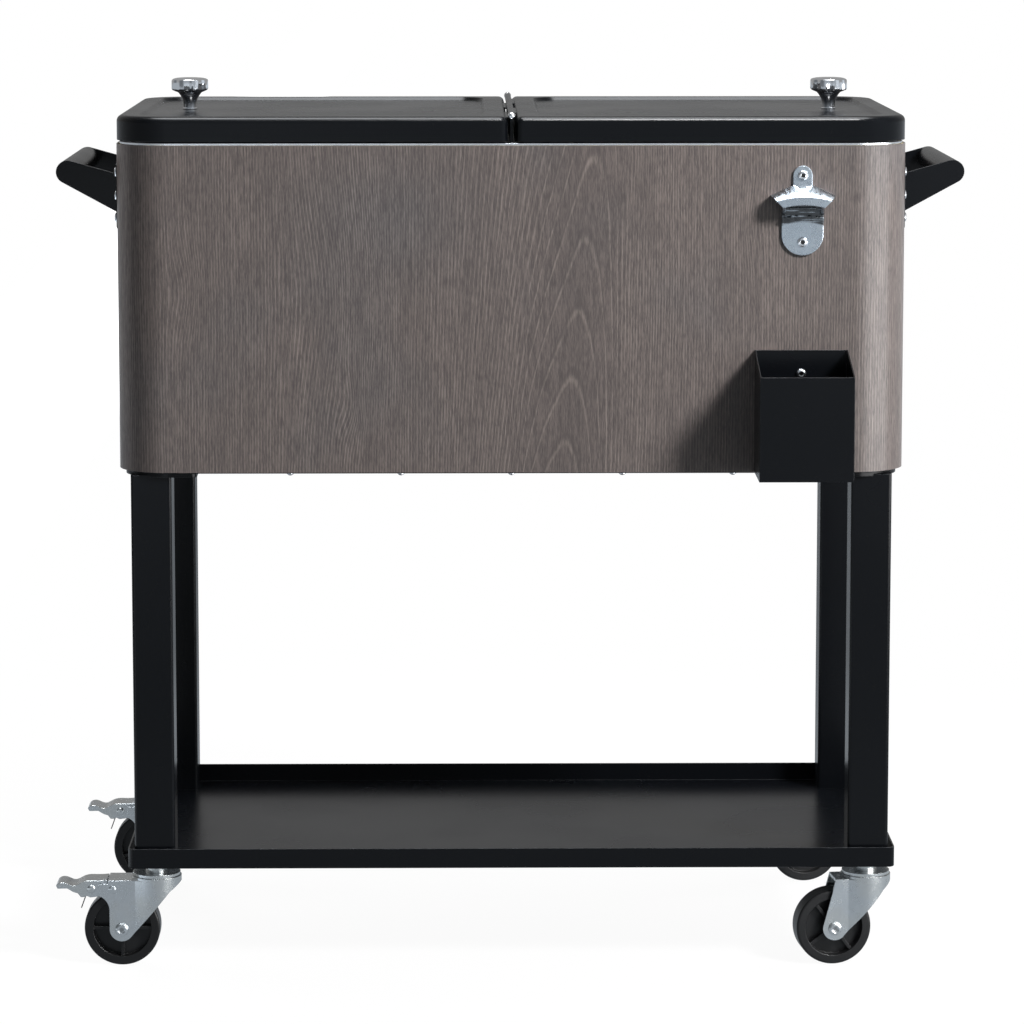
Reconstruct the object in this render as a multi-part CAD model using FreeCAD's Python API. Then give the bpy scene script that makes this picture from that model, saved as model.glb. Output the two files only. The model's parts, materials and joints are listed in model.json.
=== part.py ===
"""Patio cooler cart: an insulated tank with two hinged lids, on four legs with a shelf tray and casters.

Millimetres, +Z up. X runs along the tank, the front faces -Y and the ground is z = 0.
"""

import FreeCAD, Part

import math
import os

from FreeCAD import Placement, Rotation, Vector

# Tank body
BODY_WIDTH = 772.0
BODY_DEPTH = 406.0
BODY_HEIGHT = 319.0
BODY_CORNER_R = 50.0
SHELL_SHEET = 1.2
HEM_WIDTH = 16.0
PAN_SHEET = 1.5
PAN_INSET = 5.0
TANK_WALL = 25.0
TANK_FLOOR = 28.0
LINER_SHEET = 1.5
LINER_FLOOR_R = 12.0
FOAM_GAP = 0.3
RIM_HEIGHT = 2.2
RIM_INSET = 3.0

# Rivets along the pan's front and back edges
RIVET_PITCH = 108.3
RIVET_COUNT = 5
RIVET_EDGE = 9.0
RIVET_HEAD_R = 3.4
RIVET_HEAD_H = 2.4
RIVET_SHANK_R = 1.6
RIVET_TAIL_H = 1.0

# Legs
LEG_SIZE = 40.0
LEG_SHEET = 1.5
LEG_EDGE_R = 3.0
LEG_LENGTH = 389.0
LEG_INSET_X = 13.0
LEG_INSET_Y = 10.0
LEG_PLATE = 4.0
LEG_PLATE_SIZE = 72.0
LEG_PLATE_INSET = 6.0
LEG_PLATE_EDGE_R = 6.0
LEG_PLUG_HEIGHT = 26.0
LEG_BOLT_R = 3.0
LEG_BOLT_HEAD_R = 5.6
LEG_BOLT_HEAD_H = 3.4
LEG_BOLT_SETBACK = 13.0
LEG_NUT_R = 6.4
LEG_NUT_H = 5.0

# Shelf tray
TRAY_SHEET = 1.5
TRAY_LIP = 20.0
TRAY_MARGIN = 6.3
TRAY_CORNER_R = 6.0

# Casters
CASTER_HEIGHT = 101.0
WHEEL_R = 37.5
WHEEL_WIDTH = 24.0
WHEEL_RIM = 9.0
WHEEL_WEB = 5.0
WHEEL_EDGE_R = 2.5
WHEEL_LIP_R = 0.8
WHEEL_RIBS = 4
WHEEL_RIB = 3.0
HUB_R = 9.5
AXLE_R = 4.0
AXLE_HEAD_R = 6.7
AXLE_HEAD_H = 3.0
CASTER_TRAIL = 34.0
FORK_SHEET = 2.2
FORK_HALF_WIDTH = 17.0
FORK_NOSE_R = 24.7
FORK_TOP = 87.0
FORK_DISH_H = 2.8
DISH_BORE_R = 20.0
FORK_BOSS_R = 12.0
FORK_CREASE_X = 20.5
FORK_SHOULDER_X = 14.0
FORK_SHOULDER_DROP = 11.0
FORK_LEAN = 13.0
FORK_EAR_REACH = 56.0
FORK_EAR_TOP = 3.5
FORK_EAR_LOW = 15.5
FORK_EAR_SWEEP = 14.0
FORK_SEAM = 47.5
FORK_SWEEP_BEND = (0.3, 0.4)
KINGPIN_R = 5.0
KINGPIN_HEAD_R = 9.0
KINGPIN_HEAD_H = 3.5
RACE_R = 23.6
RACE_SHEET = 3.0
RACE_RING_R = 16.0
MOUNT_BOSS_R = 11.0
STEM_INTO_PLUG = 22.0

# Caster brakes, the pedal's outline as (distance behind the kingpin, drop below the fork's top)
PEDAL_SHEET = 1.5
PEDAL_PIVOT_X = 43.0
PEDAL_PIVOT_DROP = 9.0
PEDAL_PIVOT_R = 2.2
PEDAL_EAR_R = 5.5
PEDAL_HEAD_R = 3.9
PEDAL_HEAD_H = 1.6
PEDAL_RIVET_X = 64.0
PEDAL_TRAVEL_DEG = 10.0
PEDAL_SEAM_GAP = 0.8
PEDAL_REACH = 99.0
PEDAL_WAVE = ((60.0, 0.6), (72.0, 1.6), (82.0, 5.6), (91.0, 2.6), (96.0, 3.0))
PEDAL_TIP_DROP = 5.5
PEDAL_UNDER = (
    (97.5, 8.6),
    (88.0, 8.4),
    (82.0, 12.0),
    (77.5, 13.4),
    (74.5, 17.2),
    (71.0, 17.2),
    (68.5, 16.0),
    (65.0, 17.6),
    (57.0, 16.6),
)
SPRING_SHEET = 1.0
SPRING_WIDTH = 14.0
SPRING_EYE = 1.4
SPRING_REACH = 38.0

# Lids and their hinge
LID_INSET = 0.5
LID_CLEARANCE = 1.5
LID_HEIGHT = 24.3
LID_SHEET = 1.2
LID_EDGE_R = 6.0
LID_GAP = 7.8
LID_INNER_CORNER_R = 7.2
LID_PANEL_DEPTH = 3.0
LID_PANEL_INSET = 22.0
LID_PANEL_CORNER_R = 30.0
LID_PANEL_SLOPE = 3.0
LID_TRAY_SHEET = 1.8
LID_TRAY_RISE = 1.3
LID_TRAY_LIP = 8.0
HINGE_RISE = 0.8
HINGE_ROD_R = 2.0
HINGE_EYE_R = 3.2
HINGE_WEB = 2.0
HINGE_WEB_BELOW_ROD = 0.4
HINGE_POST = 3.0
HINGE_POST_LENGTH = 12.0
HINGE_ROD_INSET = 6.0
HINGE_CAP_R = 3.7
BAR_WIDTH = 44.0
BAR_HEIGHT = 8.0
BAR_TAB_WIDTH = 24.0
BAR_TAB_LENGTH = 14.0
BAR_TAB_SHEET = 1.2

# Lid knobs
KNOB_INSET = 62.0
KNOB_HEIGHT = 32.0
KNOB_HEAD_R = 19.4
KNOB_HEAD_H = 15.0
KNOB_CROWN = 3.0
KNOB_NECK_R = 6.3
KNOB_NECK_WAIST_R = 7.0
KNOB_NECK_WAIST = 0.55
KNOB_HEAD_BEVEL = 2.5
KNOB_SHOULDER_R = 12.0
KNOB_FOOT_R = 7.3
KNOB_FOOT_H = 1.6
KNOB_LOBES = 8
KNOB_FLUTE_R = 9.0
KNOB_FLUTE_DEPTH = 1.5
KNOB_SCREW_R = 3.0
KNOB_SCREW_HEAD_R = 5.5
KNOB_SCREW_HEAD_H = 2.6
KNOB_SCREW_GRIP = 14.0

# Side handles
HANDLE_REACH = 64.0
HANDLE_SPAN = 220.0
HANDLE_SHEET = 3.0
HANDLE_GRIP_R = 11.5
HANDLE_GRIP_WALL = 1.6
HANDLE_GRIP_BELOW_LID = 35.2
HANDLE_ARM_HEIGHT = 39.0
HANDLE_ARM_DROP = 2.7
HANDLE_FLANGE_WIDTH = 32.0
HANDLE_FLANGE_HEIGHT = 64.0
HANDLE_FLANGE_SHEET = 2.0
HANDLE_FLANGE_EDGE_R = 3.0
HANDLE_SCREW_PITCH = 22.5
HANDLE_SCREW_OUT = 17.5
HANDLE_FLANGE_RISE = 1.0
HANDLE_VENT_R = 2.5

# Bottle opener and cap catcher on the front
ACCESSORY_INSET = 104.0
OPENER_TOP_BELOW_RIM = 19.4
OPENER_LUG_R = 9.3
OPENER_PLATE = 2.5
OPENER_FOOT_R = 20.3
OPENER_HEIGHT = 87.0
OPENER_HOOD_HALF = 31.2
OPENER_HOOD_REACH = 20.0
OPENER_HOOD_SHEET = 3.0
OPENER_HOOD_DROP = 18.5
OPENER_HOOD_LIP = 8.0
OPENER_TIP_DROP = 10.0
OPENER_MOUTH = 10.0
OPENER_ARCH = 2.5
OPENER_RIDGE = 4.0
OPENER_TOOTH_HALF = 12.5
OPENER_TOOTH = 1.7
OPENER_TOOTH_BELOW_LIP = 3.3
OPENER_SCREW_SETBACK = 13.0
CATCHER_WIDTH = 91.0
CATCHER_DEPTH = 78.0
CATCHER_FRONT_HEIGHT = 101.0
CATCHER_BACK_HEIGHT = 119.0
CATCHER_SHEET = 1.2
CATCHER_ABOVE_SHELL = 1.0
CATCHER_SCREW_HEIGHTS = (32.0, 96.0)

# Fastener heads: shares of the height that is straight side, and of the radius that the slot crosses
HEAD_SIDE = 0.35
HEAD_SLOT = 0.55
RIVET_TAIL = 0.8

# Pan-head screws on the body
SCREW_HEAD_R = 5.0
SCREW_HEAD_H = 2.8
SCREW_SHANK_R = 2.5
SCREW_GRIP = 13.0
SCREW_SLOT = 1.0
SCREW_SLOT_DEPTH = 1.2

# Tank drain
DRAIN_Y = 110.0
DRAIN_BORE_R = 9.0
DRAIN_PIPE_R = 13.0
DRAIN_PIPE_BELOW_PAN = 29.5
DRAIN_FLANGE_R = 20.0
DRAIN_FLANGE_H = 2.5
DRAIN_WELL_R = 23.0
DRAIN_WELL_DEPTH = 3.0
DRAIN_NUT_R = 21.0
DRAIN_NUT_H = 8.0
DRAIN_CAP_R = 17.0
DRAIN_CAP_H = 20.0
DRAIN_CAP_FLOOR = 3.0
DRAIN_CAP_RIBS = 12
DRAIN_CAP_RIB_R = 1.6
DRAIN_GASKET_H = 1.0

# Clearances
RUNNING_FIT = 0.05
HOLE_FIT = 0.25
CLOSE_FIT = 0.05
SIDE_PLAY = 0.4
SEAT_GAP = 0.1
PART_GAP = 0.3
OVERCUT = 1.0

# Heights, from the ground up
TRAY_Z = CASTER_HEIGHT
LEG_Z = TRAY_Z + TRAY_SHEET
LEG_PLATE_Z = LEG_Z + LEG_LENGTH
PAN_Z = LEG_PLATE_Z + LEG_PLATE
SHELL_Z = PAN_Z + PAN_SHEET
RIM_Z = SHELL_Z + BODY_HEIGHT
RIM_TOP = RIM_Z + RIM_HEIGHT
LINER_Z = SHELL_Z + TANK_FLOOR
WELL_Z = LINER_Z - DRAIN_WELL_DEPTH
LID_Z = RIM_TOP + LID_CLEARANCE
LID_TOP = LID_Z + LID_HEIGHT
LID_PANEL_Z = LID_TOP - LID_PANEL_DEPTH
LID_TRAY_Z = LID_Z + LID_TRAY_RISE
HINGE_Z = LID_TOP + HINGE_RISE

# Places in plan
HALF_X = BODY_WIDTH / 2
HALF_Y = BODY_DEPTH / 2
KNOB_X = HALF_X - KNOB_INSET
ACCESSORY_X = HALF_X - ACCESSORY_INSET
LINER_INSET = TANK_WALL + LINER_SHEET
LEG_X = HALF_X - LEG_INSET_X - LEG_SIZE / 2
LEG_Y = HALF_Y - LEG_INSET_Y - LEG_SIZE / 2
LID_HALF_Y = HALF_Y - LID_INSET
HINGE_ROD_END = LID_HALF_Y - HINGE_ROD_INSET
FORK_INNER_HALF = FORK_HALF_WIDTH - FORK_SHEET
FORK_PLATE_Z = FORK_TOP - FORK_SHEET
PIVOT_Z = FORK_TOP - PEDAL_PIVOT_DROP
PEDAL_OUTER_HALF = FORK_INNER_HALF - SIDE_PLAY
PEDAL_INNER_HALF = PEDAL_OUTER_HALF - PEDAL_SHEET

# The frame's origin is under the middle of the whole outline: between the pedals' tips and the
# right handle across, and between the catcher and the tank's back in depth.
LEFT_REACH = max(HALF_X + HANDLE_REACH, LEG_X + PEDAL_REACH)
RIGHT_REACH = HALF_X + HANDLE_REACH
FRONT_REACH = HALF_Y + CATCHER_DEPTH
FRAME_SHIFT = Vector((LEFT_REACH - RIGHT_REACH) / 2, (FRONT_REACH - HALF_Y) / 2, 0)

SIDES = {"left": -1, "right": 1}
CORNERS = {
    "front_left": (-1, -1),
    "front_right": (1, -1),
    "rear_left": (-1, 1),
    "rear_right": (1, 1),
}
BRAKED = ("front_left", "rear_left")

# How the casters stand at rest: the swivel angle, and how far each wheel has rolled
SWIVEL_DEG = {"front_left": 0.0, "front_right": 7.0, "rear_left": 0.0, "rear_right": 7.0}
ROLL_DEG = {"front_left": 0.0, "front_right": 37.0, "rear_left": 20.0, "rear_right": 60.0}


def box(x0, x1, y0, y1, z0, z1):
    """A block between two corners, given in any order."""
    low = Vector(min(x0, x1), min(y0, y1), min(z0, z1))
    return Part.makeBox(abs(x1 - x0), abs(y1 - y0), abs(z1 - z0), low)


def bar(radius, start, end):
    """A round bar from one point to another."""
    axis = end.sub(start)
    return Part.makeCylinder(radius, axis.Length, start, axis)


def post(radius, x, y, z0, z1):
    """An upright round bar."""
    return Part.makeCylinder(radius, z1 - z0, Vector(x, y, z0))


def outline(x0, x1, y0, y1, radii, z):
    """A rectangle with rounded corners, radii in order from the low corner, anticlockwise."""
    corners = [Vector(x0, y0, z), Vector(x1, y0, z), Vector(x1, y1, z), Vector(x0, y1, z)]
    ways = [Vector(0, -1, 0), Vector(1, 0, 0), Vector(0, 1, 0), Vector(-1, 0, 0)]
    arcs = []
    for i, corner in enumerate(corners):
        into = ways[i]
        away = ways[(i + 1) % 4]
        radius = radii[i]
        start = corner - into * radius
        middle = start + away * radius + (into - away) * (radius * math.sqrt(0.5))
        arcs.append((start, middle, corner + away * radius))
    edges = []
    for i, (start, middle, end) in enumerate(arcs):
        edges.append(Part.Arc(start, middle, end).toShape())
        following = arcs[(i + 1) % 4][0]
        if following.distanceToPoint(end) > 1e-6:
            edges.append(Part.LineSegment(end, following).toShape())
    return Part.Wire(edges)


def slab(x0, x1, y0, y1, radii, z0, z1):
    """An upright prism on a rounded rectangle; one radius stands for all four corners."""
    four = [radii] * 4 if isinstance(radii, (int, float)) else radii
    return Part.Face(outline(x0, x1, y0, y1, four, z0)).extrude(Vector(0, 0, z1 - z0))


def body_slab(inset, z0, z1):
    """A prism of the tank's plan, drawn in by an inset."""
    half_x = HALF_X - inset
    half_y = HALF_Y - inset
    return slab(-half_x, half_x, -half_y, half_y, BODY_CORNER_R - inset, z0, z1)


def edges_at(shape, z):
    """The edges that lie at one height."""
    return [e for e in shape.Edges if all(abs(v.Z - z) < 1e-5 for v in e.Vertexes)]


def polyline(points, y):
    """Straight edges through (x, z) points at one depth."""
    places = [Vector(x, y, z) for x, z in points]
    return [Part.LineSegment(a, b).toShape() for a, b in zip(places, places[1:])]


def side_prism(edges, depth):
    """A closed XZ outline extruded along +Y."""
    return Part.Face(Part.Wire(edges)).extrude(Vector(0, depth, 0))


def tangent_point(point, centre, radius, turn):
    """Where a line from an outside (x, z) point touches a circle, on the side that turn picks."""
    dx = point[0] - centre[0]
    dz = point[1] - centre[1]
    angle = math.atan2(dz, dx) + turn * math.acos(radius / math.hypot(dx, dz))
    return centre[0] + radius * math.cos(angle), centre[1] + radius * math.sin(angle)


def arc_xz(centre, radius, start_deg, end_deg, y):
    """An arc in the XZ plane between two angles."""
    ends = []
    for angle in (start_deg, (start_deg + end_deg) / 2, end_deg):
        turn = math.radians(angle)
        ends.append(Vector(centre[0] + radius * math.cos(turn), y, centre[1] + radius * math.sin(turn)))
    return Part.Arc(*ends).toShape()


def angle_xz(point, centre):
    """The angle of an (x, z) point round a centre, in degrees."""
    return math.degrees(math.atan2(point[1] - centre[1], point[0] - centre[0]))


def lathe(edges):
    """A closed XZ outline turned round the Z axis."""
    return Part.Face(Part.Wire(edges)).revolve(Vector(0, 0, 0), Vector(0, 0, 1), 360)


def cap_arc(radius, side, top):
    """A spherical cap's edge in the XZ plane, from its rim up to the Z axis."""
    rise = top - side
    sphere_r = (radius**2 + rise**2) / (2 * rise)
    half_turn = math.asin(radius / sphere_r) / 2
    middle = Vector(sphere_r * math.sin(half_turn), 0, top - sphere_r * (1 - math.cos(half_turn)))
    return Part.Arc(Vector(radius, 0, side), middle, Vector(0, 0, top)).toShape()


def dome(radius, height):
    """A low domed head standing on z = 0."""
    side = height * HEAD_SIDE
    edges = polyline([(0, height), (0, 0), (radius, 0), (radius, side)], 0)
    edges.append(cap_arc(radius, side, height))
    return lathe(edges)


def aim(shape, place, direction):
    """Turns a shape made along +Z to point along a direction, at a place."""
    moved = shape.copy()
    moved.Placement = Placement(place, Rotation(Vector(0, 0, 1), direction))
    return moved


def screw(head_r, head_h, shank_r, grip):
    """A pan-head screw with a cross slot: the head above z = 0, the shank below it."""
    body = dome(head_r, head_h).fuse(post(shank_r, 0, 0, -grip, OVERCUT / 2))
    arm = head_r * HEAD_SLOT
    half = SCREW_SLOT / 2
    top = head_h + OVERCUT
    floor = head_h - SCREW_SLOT_DEPTH
    cross = box(-arm, arm, -half, half, floor, top).fuse(box(-half, half, -arm, arm, floor, top))
    return body.cut(cross)


def rivet(head_r, head_h, shank_r, grip, tail_r, tail_h):
    """A rivet along Z: a domed head above z = 0 and a formed head below the grip."""
    tail = aim(dome(tail_r, tail_h), Vector(0, 0, -grip), Vector(0, 0, -1))
    return dome(head_r, head_h).fuse([post(shank_r, 0, 0, -grip - tail_h / 2, head_h / 2), tail])


def hexagon(radius, x, y, z0, z1):
    """A six-sided nut blank, measured to its corners."""
    corners = []
    for i in range(7):
        turn = math.radians(60 * i)
        corners.append(Vector(x + radius * math.cos(turn), y + radius * math.sin(turn), z0))
    return Part.Face(Part.makePolygon(corners)).extrude(Vector(0, 0, z1 - z0))


def group(shapes):
    """Separate solids kept together under one name."""
    return Part.makeCompound(shapes)


# Where fasteners go

def rivet_places():
    """The pan rivets, as (x, y)."""
    first = -(RIVET_COUNT - 1) / 2
    row = [(first + i) * RIVET_PITCH for i in range(RIVET_COUNT)]
    return [(x, side * (HALF_Y - RIVET_EDGE)) for side in (-1, 1) for x in row]


def leg_bolt_places():
    """Three bolts round the inner sides of each leg, as (x, y)."""
    inner_x = LEG_X - LEG_SIZE / 2 - LEG_BOLT_SETBACK
    inner_y = LEG_Y - LEG_SIZE / 2 - LEG_BOLT_SETBACK
    trio = [(inner_x, LEG_Y), (LEG_X, inner_y), (inner_x, inner_y)]
    return [(sx * x, sy * y) for sx, sy in CORNERS.values() for x, y in trio]


def handle_grip_centre():
    """The grip's (x, z) on the right-hand side."""
    return HALF_X + HANDLE_REACH - HANDLE_GRIP_R, LID_Z - HANDLE_GRIP_BELOW_LID


def handle_flange_z():
    """The middle height of a handle's flanges."""
    return handle_grip_centre()[1] - HANDLE_ARM_DROP - HANDLE_ARM_HEIGHT / 2 + HANDLE_FLANGE_RISE


def handle_screw_places():
    """The screws of one handle, as (y, z)."""
    y = HANDLE_SPAN / 2 + HANDLE_SCREW_OUT
    middle = handle_flange_z()
    return [(end * y, middle + step * HANDLE_SCREW_PITCH) for end in (-1, 1) for step in (-1, 0, 1)]


def accessory_screw_places():
    """The opener and catcher screws on the front, as (z, sheet under the head)."""
    top = RIM_Z - OPENER_TOP_BELOW_RIM
    foot = top - OPENER_HEIGHT
    catcher = SHELL_Z + CATCHER_ABOVE_SHELL
    opener = [(top - OPENER_LUG_R, OPENER_PLATE), (foot + OPENER_SCREW_SETBACK, OPENER_PLATE)]
    return opener + [(catcher + height, CATCHER_SHEET) for height in CATCHER_SCREW_HEIGHTS]


def front_bore(radius, z, y_front, y_back):
    """A bore through the front at the accessories' line."""
    return bar(radius, Vector(ACCESSORY_X, y_front, z), Vector(ACCESSORY_X, y_back, z))


def side_bores(radius, x_outer, x_inner, sides=(-1, 1)):
    """Bores for the handle screws, between two distances from the middle."""
    bores = []
    for side in sides:
        for y, z in handle_screw_places():
            bores.append(bar(radius, Vector(side * x_outer, y, z), Vector(side * x_inner, y, z)))
    return bores


# Tank

def make_outer_shell():
    """The wrapped sheet round the tank, with a hem turned in at the bottom."""
    shell = body_slab(0, SHELL_Z, RIM_Z)
    shell = shell.cut(body_slab(SHELL_SHEET, SHELL_Z + SHELL_SHEET, RIM_Z + OVERCUT))
    shell = shell.cut(body_slab(HEM_WIDTH, SHELL_Z - OVERCUT, SHELL_Z + 2 * SHELL_SHEET))
    reach = SHELL_SHEET + OVERCUT
    tools = side_bores(SCREW_SHANK_R + CLOSE_FIT, HALF_X + OVERCUT, HALF_X - reach)
    for z, _ in accessory_screw_places():
        tools.append(front_bore(SCREW_SHANK_R + CLOSE_FIT, z, -HALF_Y - OVERCUT, -HALF_Y + reach))
    for x, y in rivet_places():
        tools.append(post(RIVET_SHANK_R + CLOSE_FIT, x, y, SHELL_Z - OVERCUT, SHELL_Z + reach))
    return shell.cut(tools)


def make_bottom_pan():
    """The flat sheet that closes the tank's underside."""
    pan = body_slab(PAN_INSET, PAN_Z, SHELL_Z)
    low = PAN_Z - OVERCUT
    high = SHELL_Z + OVERCUT
    tools = [post(RIVET_SHANK_R + CLOSE_FIT, x, y, low, high) for x, y in rivet_places()]
    tools += [post(LEG_BOLT_R + HOLE_FIT, x, y, low, high) for x, y in leg_bolt_places()]
    tools.append(post(DRAIN_PIPE_R + HOLE_FIT, 0, DRAIN_Y, low, high))
    return pan.cut(tools)


def make_pan_rivets():
    """Rivets that join the pan to the shell's hem, heads down."""
    grip = PAN_SHEET + SHELL_SHEET
    one = rivet(RIVET_HEAD_R, RIVET_HEAD_H, RIVET_SHANK_R, grip, RIVET_HEAD_R * RIVET_TAIL, RIVET_TAIL_H)
    down = Vector(0, 0, -1)
    return group([aim(one, Vector(x, y, PAN_Z), down) for x, y in rivet_places()])


def liner_block(inset, z, top):
    """The liner's outer form, with its floor edge rounded, drawn in by an inset."""
    block = body_slab(inset, z, top)
    radius = LINER_FLOOR_R - (inset - TANK_WALL)
    return block.makeFillet(radius, edges_at(block, z))


def make_tank_liner():
    """The tub that holds the ice, with a shallow well round the drain."""
    floor = LINER_Z + LINER_SHEET
    liner = liner_block(TANK_WALL, LINER_Z, RIM_Z)
    liner = liner.fuse(post(DRAIN_WELL_R + LINER_SHEET, 0, DRAIN_Y, WELL_Z, floor)).removeSplitter()
    tools = [
        liner_block(LINER_INSET, floor, RIM_Z + OVERCUT),
        post(DRAIN_WELL_R, 0, DRAIN_Y, WELL_Z + LINER_SHEET, floor + OVERCUT),
        post(DRAIN_PIPE_R + HOLE_FIT, 0, DRAIN_Y, WELL_Z - OVERCUT, floor),
    ]
    return liner.cut(tools)


def make_tank_insulation():
    """Foam between the shell and the liner, with pockets round the fasteners and the drain."""
    low = SHELL_Z + SHELL_SHEET + FOAM_GAP
    foam = body_slab(SHELL_SHEET + FOAM_GAP, low, RIM_Z - FOAM_GAP)
    foam = foam.cut(liner_block(TANK_WALL - FOAM_GAP, LINER_Z - FOAM_GAP, RIM_Z + OVERCUT))
    depth = SCREW_GRIP + PART_GAP
    tools = side_bores(SCREW_SHANK_R + PART_GAP, HALF_X + OVERCUT, HALF_X - depth)
    for z, _ in accessory_screw_places():
        tools.append(front_bore(SCREW_SHANK_R + PART_GAP, z, -HALF_Y - OVERCUT, -HALF_Y + depth))
    for x, y in rivet_places():
        top = SHELL_Z + SHELL_SHEET + RIVET_TAIL_H + PART_GAP
        tools.append(post(RIVET_HEAD_R, x, y, SHELL_Z, top))
    for x, y in leg_bolt_places():
        tools.append(post(LEG_NUT_R + PART_GAP, x, y, SHELL_Z, SHELL_Z + LEG_NUT_H + 4 * PART_GAP))
    tools.append(post(DRAIN_WELL_R + LINER_SHEET + FOAM_GAP, 0, DRAIN_Y, WELL_Z - FOAM_GAP, LINER_Z))
    tools.append(post(DRAIN_PIPE_R + HOLE_FIT, 0, DRAIN_Y, SHELL_Z, LINER_Z))
    return foam.cut(tools)


def make_top_rim():
    """The bright frame that bridges shell and liner, with seats for the centre bar's tabs."""
    rim = body_slab(RIM_INSET, RIM_Z, RIM_TOP).cut(body_slab(LINER_INSET, RIM_Z - OVERCUT, RIM_TOP + OVERCUT))
    inner = HALF_Y - LINER_INSET
    outer = inner + BAR_TAB_LENGTH + SEAT_GAP
    half = BAR_TAB_WIDTH / 2 + SEAT_GAP
    seats = []
    for side in (-1, 1):
        near = side * (inner - OVERCUT)
        seats.append(box(-half, half, near, side * outer, RIM_TOP - BAR_TAB_SHEET, RIM_TOP + OVERCUT))
    return rim.cut(seats)


# Hinge

def hinge_posts():
    """The middles of the fixed hinge posts along Y."""
    reach = HALF_Y - LINER_INSET + BAR_TAB_LENGTH - HINGE_POST_LENGTH / 2
    return [-reach, 0.0, reach]


def hinge_stretches():
    """The stretches of hinge between posts, halved for the two lids: (side, start, end)."""
    places = hinge_posts()
    stretches = []
    for first, second in zip(places, places[1:]):
        start = first + HINGE_POST_LENGTH / 2 + PART_GAP
        end = second - HINGE_POST_LENGTH / 2 - PART_GAP
        middle = (start + end) / 2
        stretches.append((-1, start, middle - PART_GAP / 2))
        stretches.append((1, middle + PART_GAP / 2, end))
    return stretches


def hinge_bore(start, end):
    """The bore that the hinge rod runs in, between two depths."""
    return bar(HINGE_ROD_R + RUNNING_FIT, Vector(0, start, HINGE_Z), Vector(0, end, HINGE_Z))


def make_centre_bar():
    """The bar across the tank that the lids close on, with three posts for the hinge rod."""
    half = BAR_WIDTH / 2
    inner = HALF_Y - LINER_INSET - SEAT_GAP
    tab = inner + SEAT_GAP + BAR_TAB_LENGTH
    tab_half = BAR_TAB_WIDTH / 2
    pieces = [box(-tab_half, tab_half, -tab, tab, RIM_TOP - BAR_TAB_SHEET, RIM_TOP)]
    for y in hinge_posts():
        y0 = y - HINGE_POST_LENGTH / 2
        y1 = y + HINGE_POST_LENGTH / 2
        pieces.append(box(-HINGE_POST / 2, HINGE_POST / 2, y0, y1, RIM_TOP - BAR_TAB_SHEET, HINGE_Z))
        pieces.append(bar(HINGE_EYE_R, Vector(0, y0, HINGE_Z), Vector(0, y1, HINGE_Z)))
    beam = box(-half, half, -inner, inner, RIM_TOP - BAR_HEIGHT, RIM_TOP)
    whole = beam.fuse(pieces).removeSplitter()
    return whole.cut(hinge_bore(-HALF_Y, HALF_Y))


def make_hinge_rod():
    """The rod that both lids turn on."""
    return bar(HINGE_ROD_R, Vector(0, -HINGE_ROD_END, HINGE_Z), Vector(0, HINGE_ROD_END, HINGE_Z))


def make_hinge_rod_caps():
    """Ball caps pushed on the rod's ends."""
    caps = []
    for side in (-1, 1):
        centre = side * HINGE_ROD_END
        ball = Part.makeSphere(HINGE_CAP_R, Vector(0, centre, HINGE_Z))
        mouth = Vector(0, side * (HINGE_ROD_END - 2 * HINGE_CAP_R), HINGE_Z)
        end = Vector(0, centre + side * SEAT_GAP, HINGE_Z)
        caps.append(ball.cut(bar(HINGE_ROD_R + CLOSE_FIT, mouth, end)))
    return group(caps)


# Lids, drawn on the right-hand side and mirrored for the left

def lid_form(inset, z0, z1):
    """One lid's outer form, drawn in by an inset, with its top edge rounded."""
    x0 = LID_GAP / 2 + inset
    x1 = HALF_X - LID_INSET - inset
    half_y = LID_HALF_Y - inset
    outer_r = BODY_CORNER_R - LID_INSET - inset
    inner_r = LID_INNER_CORNER_R - inset
    form = slab(x0, x1, -half_y, half_y, [inner_r, outer_r, outer_r, inner_r], z0, z1)
    return form.makeFillet(LID_EDGE_R - inset, edges_at(form, z1))


def lid_slab(inset, z0, z1):
    """A plain prism of one lid's plan, drawn in by an inset."""
    x0 = LID_GAP / 2 + inset
    x1 = HALF_X - LID_INSET - inset
    half_y = LID_HALF_Y - inset
    outer_r = BODY_CORNER_R - LID_INSET - inset
    inner_r = LID_INNER_CORNER_R - inset
    return slab(x0, x1, -half_y, half_y, [inner_r, outer_r, outer_r, inner_r], z0, z1)


def panel_block(grow, z):
    """The sunk panel's space, open at the top, grown outwards by a wall and with its floor at z."""
    outlines = []
    for height, inset in ((z, LID_PANEL_SLOPE), (z + LID_PANEL_DEPTH, 0.0), (LID_TOP + OVERCUT, 0.0)):
        edge = LID_PANEL_INSET + inset - grow
        x0 = LID_GAP / 2 + edge
        x1 = HALF_X - LID_INSET - edge
        half_y = LID_HALF_Y - edge
        outlines.append(outline(x0, x1, -half_y, half_y, [LID_PANEL_CORNER_R - inset + grow] * 4, height))
    return Part.makeLoft(outlines, True, True)


def hinge_side(side):
    """The stretches of hinge that belong to one lid."""
    return [(start, end) for owner, start, end in hinge_stretches() if owner == side]


def mirrored(shape, side):
    """The shape on the side asked for, from one drawn on the right."""
    return shape if side > 0 else shape.mirror(Vector(0, 0, 0), Vector(1, 0, 0))


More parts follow.
